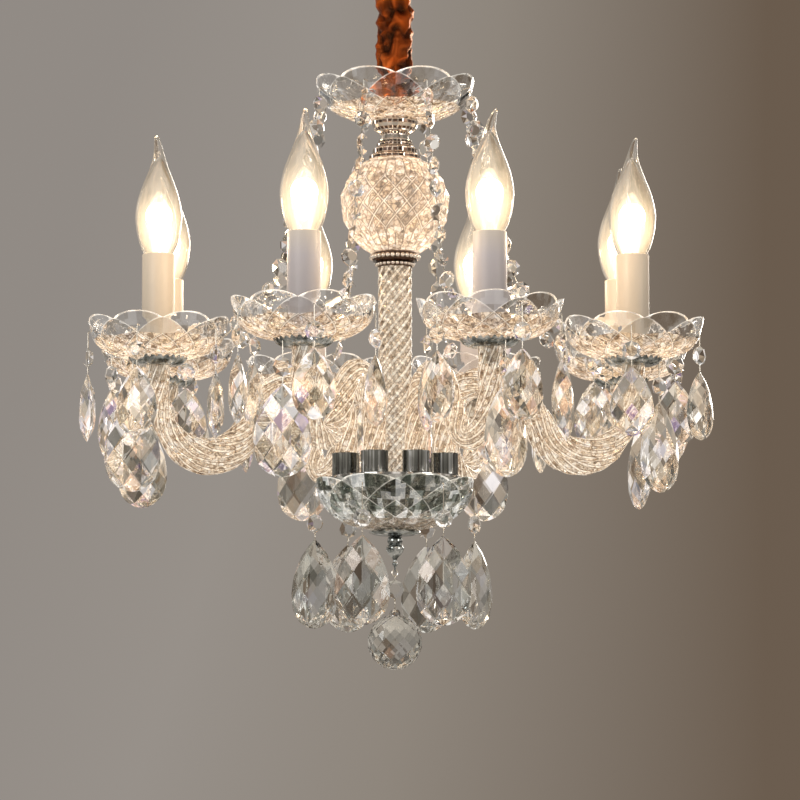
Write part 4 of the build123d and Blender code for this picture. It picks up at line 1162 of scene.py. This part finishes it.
core, _ = lathe([(0, 156.0), *glow_line, (0, 227.4)], 40)
wick, _ = lathe([(0, 165.0), *wick_line, (0, 196.0)], 16)
cap, _ = lathe([*screw, (6.9, 153.4), (9.6, 155.0), (0, 155.0)], 32)
tail_start, tail_length, tail_lean = 226.0, 19.0, 4.4
for part in (glass, core):
    for vert in part.verts:
        past = max(0.0, vert.co.z / MM - tail_start) / tail_length
        vert.co.x += tail_lean * past**1.7 * MM
print("bulb has", len(envelope), "rows of glass and", thread_turns, "turns of thread")

# %% Bulbs and their lamps
placed = [standing(x, y, math.radians(40.0 * k)) for k, (x, y) in enumerate(candle_places)]
pattern = together(glass, core, wick, cap)
on_every_arm(pattern, placed, "flame_bulb", [bulb_glass, bulb_light, filament, brass], "bulb_glass",
             "bulb", sharp=50, own_body=True)
for number, (x, y) in enumerate(candle_places, 1):
    lamp = bpy.data.objects.new(f"bulb_lamp_{number}", bpy.data.lights.new("bulb_lamp", "POINT"))
    lamp.data.energy, lamp.data.shadow_soft_size, lamp.data.color = 0.30, 0.012, (1.0, 0.78, 0.52)
    lamp.location = (x * MM, y * MM, (hub + 186) * MM)
    scene.collection.objects.link(lamp)
    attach(lamp, f"bulb_{number}")

# %% [markdown]
# ## Crystals
# The drops are clear lead crystal, polished flat facet by facet. Each facet throws light of its own,
# now and then split into colour. Cycles doesn't split light, so every facet gets a seeded number,
# and a ramp turns most numbers into clear glass, some into painted warm or cool flashes, and another
# ramp paints some facets dark, as painted dark reflections. Far below the bulbs there is less painted
# flash, and the glass is painted cooler, as the warm bulb light fades.

# %% Crystal
crystal, tree, shader = surface(
    "crystal", IOR=1.58, Transmission_Weight=1.0, Roughness=0.0, Emission_Strength=0.21
)
facet = attribute(tree, "facet")
fire = ramp(tree, facet, (
    (0.0, 0.0), (1.0, (2.6, 2.5, 2.5)), (0.50, 0.0), (0.58, (0.50, 0.36, 0.22)),
    (0.70, (1.1, 0.86, 0.60)), (0.80, (0.2, 0.18, 0.16)), (0.86, (1.5, 0.75, 0.40)), (0.89, (0.5, 0.5, 0.7)),
    (0.92, (0.35, 0.16, 0.75)), (0.93, 0.1), (0.95, (1.7, 1.65, 1.7)),
), "CONSTANT")
# Painted reflections: some facets are painted dark or brownish, most stay clear.
clear_or_reflected_dark = ramp(tree, facet, (
    (0.0, (0.97, 0.99, 0.98)), (1.0, 1.0), (0.10, (0.42, 0.42, 0.38)), (0.19, (1.0, 0.96, 0.90)),
    (0.40, (0.92, 0.95, 0.95)), (0.43, (0.36, 0.32, 0.29)), (0.50, (0.97, 0.98, 0.98)),
    (0.78, (0.62, 0.52, 0.42)), (0.85, (1.0, 0.98, 0.96)),
), "CONSTANT")
near_bulbs = rise_of(tree, -50, 30, least=0.30)
# Painted light: far below the bulbs the glass is tinted cooler, as their warm light fades.
cooler = ramp(tree, near_bulbs, ((0.30, (0.90, 0.94, 0.97)), (0.9, 1.0)))
give(shader, Emission_Color=times(tree, fire, near_bulbs), Base_Color=times(tree, clear_or_reflected_dark, cooler))
print("crystal has", len(tree.nodes), "nodes")

# %% [markdown]
# An almond drop starts as its flat outline. Two families of slanting knives (bisect_plane) cut it
# into lozenges, then the points are pushed out to a domed cushion on both sides of the girdle.

# %% Almond drop
almond_half = [
    (0.0, 0.0), (0.05, -0.02), (0.12, -0.06), (0.2, -0.115), (0.28, -0.18), (0.35, -0.26), (0.41, -0.34),
    (0.455, -0.42), (0.485, -0.51), (0.5, -0.6), (0.495, -0.69), (0.465, -0.78), (0.415, -0.85),
    (0.34, -0.91), (0.24, -0.955), (0.12, -0.988),
]


def almond(height, width, thick):
    """A drop whose tip is at the origin, hanging down -z and facing y."""
    right = [(x * width, z * height) for x, z in almond_half]
    outline = [*right, (0.0, -height), *[(-x, z) for x, z in reversed(right[1:])]]
    edge = [Vector((x * MM, 0, z * MM)) for x, z in outline]
    bm = bmesh.new()
    bm.faces.new([bm.verts.new(corner) for corner in edge])
    wide, tall = width * 0.305, height * 0.258
    for side in (1, -1):
        slant = Vector((1 / wide, 0, side / tall)).normalized()
        for number in range(-4, 9):
            base = Vector((0, 0, (-0.02 * height - number * tall) * MM))
            geom = bm.verts[:] + bm.edges[:] + bm.faces[:]
            bmesh.ops.bisect_plane(bm, geom=geom, plane_co=base, plane_no=slant, dist=2e-5)
    cushion = 0.40 * width * MM  # how far in from the edge the drop goes on growing thicker
    for vert in bm.verts:
        near = cushion
        for a, b in zip(edge, edge[1:] + edge[:1]):
            along_edge = max(0.0, min(1.0, (vert.co - a).dot(b - a) / (b - a).length_squared))
            near = min(near, (vert.co - a - (b - a) * along_edge).length)
        share = math.sin(near / cushion * math.pi / 2)
        vert.co.y = -thick / 2 * MM * share if share >= 0.02 else 0
    bmesh.ops.remove_doubles(bm, verts=bm.verts, dist=0.25 * MM)
    geom = bm.verts[:] + bm.edges[:] + bm.faces[:]
    bmesh.ops.mirror(bm, geom=geom, matrix=Matrix.Identity(4), merge_dist=1e-6, axis="Y")
    bmesh.ops.recalc_face_normals(bm, faces=bm.faces)
    return bm


small, large = almond(50.0, 31.5, 11.0), almond(66.0, 40.5, 14.0)
print("almond facets", len(small.faces), len(large.faces))


# %% [markdown]
# A bead is an octagon: a thin girdle with a smaller table on each side, turned by half a corner, so
# that the crown between them is sixteen small triangles.

# %% Bead
def octagon_bead(radius, thick, girdle=1.2, table=0.58):
    """An octagon bead in the xz plane, facing y, a corner on x."""
    bm = bmesh.new()
    ring = bmesh.ops.create_circle(bm, segments=8, radius=radius * MM, cap_ends=True)["verts"]
    bmesh.ops.rotate(bm, matrix=Matrix.Rotation(math.pi / 2, 3, "X"), verts=ring)
    bmesh.ops.translate(bm, vec=(0, girdle / 2 * MM, 0), verts=ring)
    steps = ((min, 1.0, 0.0, -girdle / 2), (min, table, math.pi / 8, -thick / 2),
             (max, table, math.pi / 8, thick / 2))
    for end, scale, turn, level in steps:
        face = end(bm.faces, key=lambda f: f.calc_center_median().y)
        drawn = bmesh.ops.extrude_face_region(bm, geom=[face])["geom"]
        moved = [item for item in drawn if isinstance(item, bmesh.types.BMVert)]
        bmesh.ops.delete(bm, geom=[face], context="FACES_ONLY")
        bmesh.ops.scale(bm, vec=(scale, 1, scale), verts=moved)
        bmesh.ops.rotate(bm, matrix=Matrix.Rotation(turn, 3, "Y"), verts=moved)
        for vert in moved:
            vert.co.y = level * MM
    bmesh.ops.triangulate(bm, faces=[face for face in bm.faces if len(face.verts) == 4])
    bmesh.ops.recalc_face_normals(bm, faces=bm.faces)
    return bm


octagon = octagon_bead(7.0, 7.0)
print("bead facets", len(octagon.faces))

# %% [markdown]
# The frame holds all fixed beads in one node and all fixed almonds in another. A node's loose parts
# are found again by walking from vertex to vertex, and each part's centre, thinnest direction and
# far corner say where a crystal goes and which way it looks.

# %% Finding the hung parts
Part = namedtuple("Part", "centre middle top bottom thin corner")


def loose_parts(node):
    """The loose parts of a node, from left to right."""
    bm = bmesh.new()
    bm.from_mesh(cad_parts[node].data)
    bmesh.ops.remove_doubles(bm, verts=bm.verts, dist=1e-6)
    seen, found = set(), []
    for first in bm.verts:
        if first in seen:
            continue
        seen.add(first)
        group, front = [], [first]
        while front:
            vert = front.pop()
            group.append(vert.co.copy())
            for edge in vert.link_edges:
                other = edge.other_vert(vert)
                if other not in seen:
                    seen.add(other)
                    front.append(other)
        points = np.array(group)
        centre, middle = points.mean(0), (points.max(0) + points.min(0)) / 2
        thin = np.linalg.svd(points - centre, full_matrices=False)[2][2]
        flat = points - centre - np.outer((points - centre) @ thin, thin)
        corner = flat[np.argmax(np.linalg.norm(flat, axis=1))]
        found.append(Part(Vector(centre), Vector(middle), points[:, 2].max(), points[:, 2].min(),
                          Vector(thin).normalized(), Vector(corner).normalized()))
    bm.free()
    return sorted(found, key=lambda part: [round(value, 4) for value in part.centre])


def hung(spot, thin):
    """A matrix that hangs an upright crystal at a point, facing the thin direction."""
    return Matrix.Translation(spot) @ Matrix.Rotation(math.atan2(thin.y, thin.x) - math.pi / 2, 4, "Z")


def strung(part):
    """A matrix for a bead on a slanting wire."""
    third = part.corner.cross(part.thin).normalized()
    return Matrix.Translation(part.centre) @ Matrix((part.corner, part.thin, third)).transposed().to_4x4()


def number_facets(bm, seed, lively=1.0):
    """A seeded number on every facet for the crystal's fire; only the lively share can flash."""
    layer = bm.faces.layers.float.new("facet")
    draw = random.Random(seed)
    for face in bm.faces:
        number = draw.random()
        face[layer] = number if draw.random() < lively else 0.2 + 0.2 * number


hangs = loose_parts("pendant_almonds")
print("the frame has", len(hangs), "fixed almonds")

# %% Fixed almonds and beads
large_height = 0.058
sizes = {False: [], True: []}
for part in hangs:
    tip = Vector((part.middle.x, part.middle.y, part.top))
    sizes[part.top - part.bottom > large_height].append(hung(tip, part.thin))
bm = together(repeated(small, sizes[False]), repeated(large, sizes[True]))
number_facets(bm, 11)
print("small", len(sizes[False]), "large", len(sizes[True]))
make_piece("almonds_hanging", bm, [crystal, crystal], "crystal", "pendant_almonds")

for seed, name, node in ((12, "beads_hanging", "pendant_beads"), (13, "beads_on_strands", "strand_beads")):
    bm = repeated(octagon, [strung(part) for part in loose_parts(node)])
    number_facets(bm, seed)
    make_piece(name, bm, [crystal], "crystal", node)


# %% [markdown]
# The six bowl drops swing on their own, so each is one piece: a bent pin, a bead and a large almond.

# %% Bowl drops
wire_r = 0.42
corner_up = Matrix.Rotation(math.pi / 2, 4, "Y")


def pin(points):
    """A round wire through points in mm above the hub."""
    curve, _ = curve_through([(x, y, hub + z) for x, y, z in points])
    curve.bevel_depth, curve.bevel_resolution = wire_r * MM, 1
    return mesh_of_curve(curve)


drop_ring, drop_faces = 59.6, (-121, -92, -88, -42, 70, 110)
for number, face_turn in enumerate(drop_faces):
    out = Vector(polar(1, math.radians(-174 + 60 * number)))
    look = Vector((*polar(1, math.radians(face_turn)), 0))
    x, y = drop_ring * out
    drop = repeated(large, [hung(Vector((x, y, hub - 46.5)) * MM, look)])
    ball = repeated(octagon, [hung(Vector((x, y, hub - 34.5)) * MM, look) @ corner_up])
    bend = [(*(55.0 * out), -8.0), (*(58.8 * out), -8.0), (*(59.5 * out), -8.7)]
    hook = pin([*bend, (x, y, -12.0), (x, y, -28.0)])
    link = pin([(x, y, -41.0), (x, y, -47.6)])
    bm = together(drop, ball, hook, link)
    number_facets(bm, 20 + number, lively=0.62)
    node = f"bowl_pendant_{number + 1}"
    drop_materials = [crystal, crystal, pin_wire, pin_wire]
    make_piece(f"bowl_drop_{number + 1}", bm, drop_materials, "crystal", node, body=node)

# %% [markdown]
# The ball at the bottom is a sphere covered in lozenges. On a globe with an even grid, every second
# vertex is dissolved, which leaves four-sided facets that stand on their points.

# %% Ball drop
ball_rows, ball_columns, ball_r = 14, 28, 20.4
arc = [polar(ball_r, math.pi * k / ball_rows)[::-1] for k in range(1, ball_rows)]
sphere, grid = lathe([(0, ball_r), *arc, (0, -ball_r)], ball_columns)
keep = [vert for vert, row, column in grid if (row + column) % 2 == 0 and 0 < row < ball_rows]
bmesh.ops.connect_verts(sphere, verts=keep)
spare = [vert for vert, row, column in grid if (row + column) % 2 and 1 < row < ball_rows - 1]
bmesh.ops.dissolve_verts(sphere, verts=spare)
move(sphere, standing(up=-122.2))
ball_bead = repeated(octagon, [hung(Vector((0, 0, hub - 82.8)) * MM, Vector((0, 1, 0))) @ corner_up])
stem, _ = lathe([(0, -103.0), (4.0, -102.6), (4.2, -100.4), (3.2, -98.6), (1.2, -97.6), (0, -97.5)], 24)
move(stem, standing())
hanger_r = 2.2
hanger_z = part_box("ball_drop")[1].z - 2.6 * MM
hanger = wire_ring(hanger_r, wire_r, sides=8, steps=24)
move(hanger, Matrix.Translation((0, 0, hanger_z)) @ Matrix.Rotation(math.pi / 2, 4, "X"))
upper = pin([(0, 0, hanger_z / MM - hub - hanger_r), (0, 0, -76.6)])
lower = pin([(0, 0, -89.0), (0, 0, -98.2)])
bm = together(sphere, ball_bead, stem, hanger, upper, lower)
number_facets(bm, 31, lively=0.18)
ball_materials = [crystal, crystal, chrome, pin_wire, pin_wire, pin_wire]
make_piece("ball_faceted", bm, ball_materials, "crystal", "ball_drop", body="drop")
for pattern in (small, large, octagon):
    pattern.free()

# %% [markdown]
# ## Satin sleeve
# A tube of copper-brown satin is pulled over the chain and bunched, so that it ruches: upright folds
# that wander, broken by cross creases where the cloth is pushed together. Its hollows get painted shade
# and its crests painted light, and it gets painted light, much brighter, where it stands in the lit
# top dish.

# %% Satin
satin, tree, shader = surface(
    "copper_satin", Roughness=0.19, Metallic=0.6, Specular_IOR_Level=0.5, Specular_Tint=(1.0, 0.55, 0.28)
)
threads = add(tree, "Mapping", Vector=add(tree, "UVMap").outputs[0], Scale=(260.0, 330.0, 1.0)).outputs[0]
warp, weft = [
    add(tree, "TexWave", bands_direction=axis, Vector=threads, Scale=1.0, Distortion=1.2).outputs["Fac"]
    for axis in "XY"
]
cloth = calc(tree, "ADD", warp, calc(tree, "MULTIPLY", weft, 0.4))
tone = ramp(tree, cloudy(tree, 32.0, 2.0), (
    (0.3, (0.09, 0.016, 0.002)), (0.72, (0.62, 0.17, 0.038)), (0.5, (0.27, 0.055, 0.008)),
))
# Painted shade in the hollows of the folds and painted light on their crests.
fold_light_and_shade = ramp(tree, attribute(tree, "fold"), (
    (0.14, (0.12, 0.10, 0.09)), (0.78, (1.75, 1.55, 1.30)), (0.45, (0.72, 0.66, 0.60)),
))
# Painted light from the lit top dish, where the sleeve stands in it.
dish_glow = mix(tree, rise_of(tree, 306, 284), (1.0, 1.0, 1.0), (2.3, 2.9, 3.2))
tone = times(tree, times(tree, tone, fold_light_and_shade), dish_glow)
between_yarns = ramp(tree, cloth, ((0.2, 0.22), (1.0, 0.0)))
give(shader, Base_Color=mix(tree, between_yarns, tone, (0.07, 0.016, 0.005)),
     Normal=relief(tree, cloth, 0.3, 0.0002))
print("satin has", len(tree.nodes), "nodes")

# %% [markdown]
# The cloth starts as a plain tube. Each point is then pushed in or out by folds whose phase drifts,
# and by a creased noise, but never into the chain.

# %% Sleeve cloth
low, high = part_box("chain_sleeve")
cloth_rows, cloth_columns, tube_r = 120, 108, 12.6
least_r, most_r, fold_reach = 10.6, 15.4, 4.4
cloth_line = [(tube_r, (low.z + (high.z - low.z) * k / cloth_rows) / MM) for k in range(cloth_rows + 1)]
bm, grid = lathe(cloth_line, cloth_columns)
uv = bm.loops.layers.uv.new("threads")
for face in bm.faces:
    middle = face.calc_center_median()
    for loop in face.loops:
        turn = math.atan2(loop.vert.co.y, loop.vert.co.x) / (2 * math.pi)
        turn -= round(turn - math.atan2(middle.y, middle.x) / (2 * math.pi))
        loop[uv].uv = (turn * 1.3, (loop.vert.co.z - low.z) * 15)
for vert, _, _ in grid:
    angle = math.atan2(vert.co.y, vert.co.x)
    z = vert.co.z / MM
    drift = 0.9 * math.sin(z / 9.0) + 1.6 * noise.noise(Vector((0, 0, z / 21.0)))
    fold = abs(math.sin(1.5 * angle + drift)) ** 0.8
    minor = math.sin(9 * angle - 1.4 * math.sin(z / 6.5) + 2.0)
    spot = Vector((*polar(1.1, angle), z / 8.5))
    crease = abs(noise.noise(spot)) * 2.2
    wander = noise.noise(Vector((*polar(1, angle), z / 30.0)) * 0.9)
    ruche = abs(math.sin(math.pi * z / 24.0 + 0.5 * abs(angle) + 3.0 * wander))
    push(vert, out=-1.6 + 1.7 * fold + 0.25 * minor - 1.7 * crease + 2.4 * ruche,
         up=1.2 * noise.noise(spot * 1.7))
    push(vert, out=max(0.0, least_r - plan_radius(vert)) - max(0.0, plan_radius(vert) - most_r))
write_on(bm, "fold", lambda vert: min(1.0, max(0.0, (plan_radius(vert) - least_r) / fold_reach)))
sleeve = make_piece("satin_sleeve", bm, [satin], "fabric_copper", "chain_sleeve", "chain_run", sharp=180)
thickness = sleeve.modifiers.new("cloth", "SOLIDIFY")
thickness.thickness, thickness.offset = 0.0003, -1.0
print("sleeve cloth area", round(sum(polygon.area for polygon in sleeve.data.polygons), 5), "m2")

# %% [markdown]
# ## Parts kept from the frame
# The chain, hook, loop, tube, nuts, studs, plate, pan, strap, screws, canopy, lampholders and wires
# already have their real shape. They keep it and get a finish.

# %% Finishes of kept parts
holder_plastic, tree, shader = surface("holder_plastic")
mottle = cloudy(tree, 300.0, 3.0)
give(shader, Base_Color=ramp(tree, mottle, ((0.3, (0.62, 0.60, 0.55)), (0.7, (0.74, 0.72, 0.67)))),
     Roughness=ramp(tree, mottle, ((0.3, 0.36), (0.7, 0.52))))

kept = {
    "ceiling_strap": steel, "ceiling_canopy": lacquer, "canopy_screws": brass, "ceiling_hook": steel,
    "chain": steel, "hanging_loop": chrome, "centre_tube": chrome, "tube_nuts": steel, "arm_plate": chrome,
    "arm_pan": chrome, "arm_studs": steel, "lampholders": holder_plastic, "pendant_pins": pin_wire,
    "strand_links": pin_wire,
}
for name, material in kept.items():
    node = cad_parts[name]
    if not node.material_slots:
        node.data.materials.append(material)
    for place in node.material_slots:
        place.link = "OBJECT"
        place.material = material
print("kept", len(kept), "nodes of", len(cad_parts))
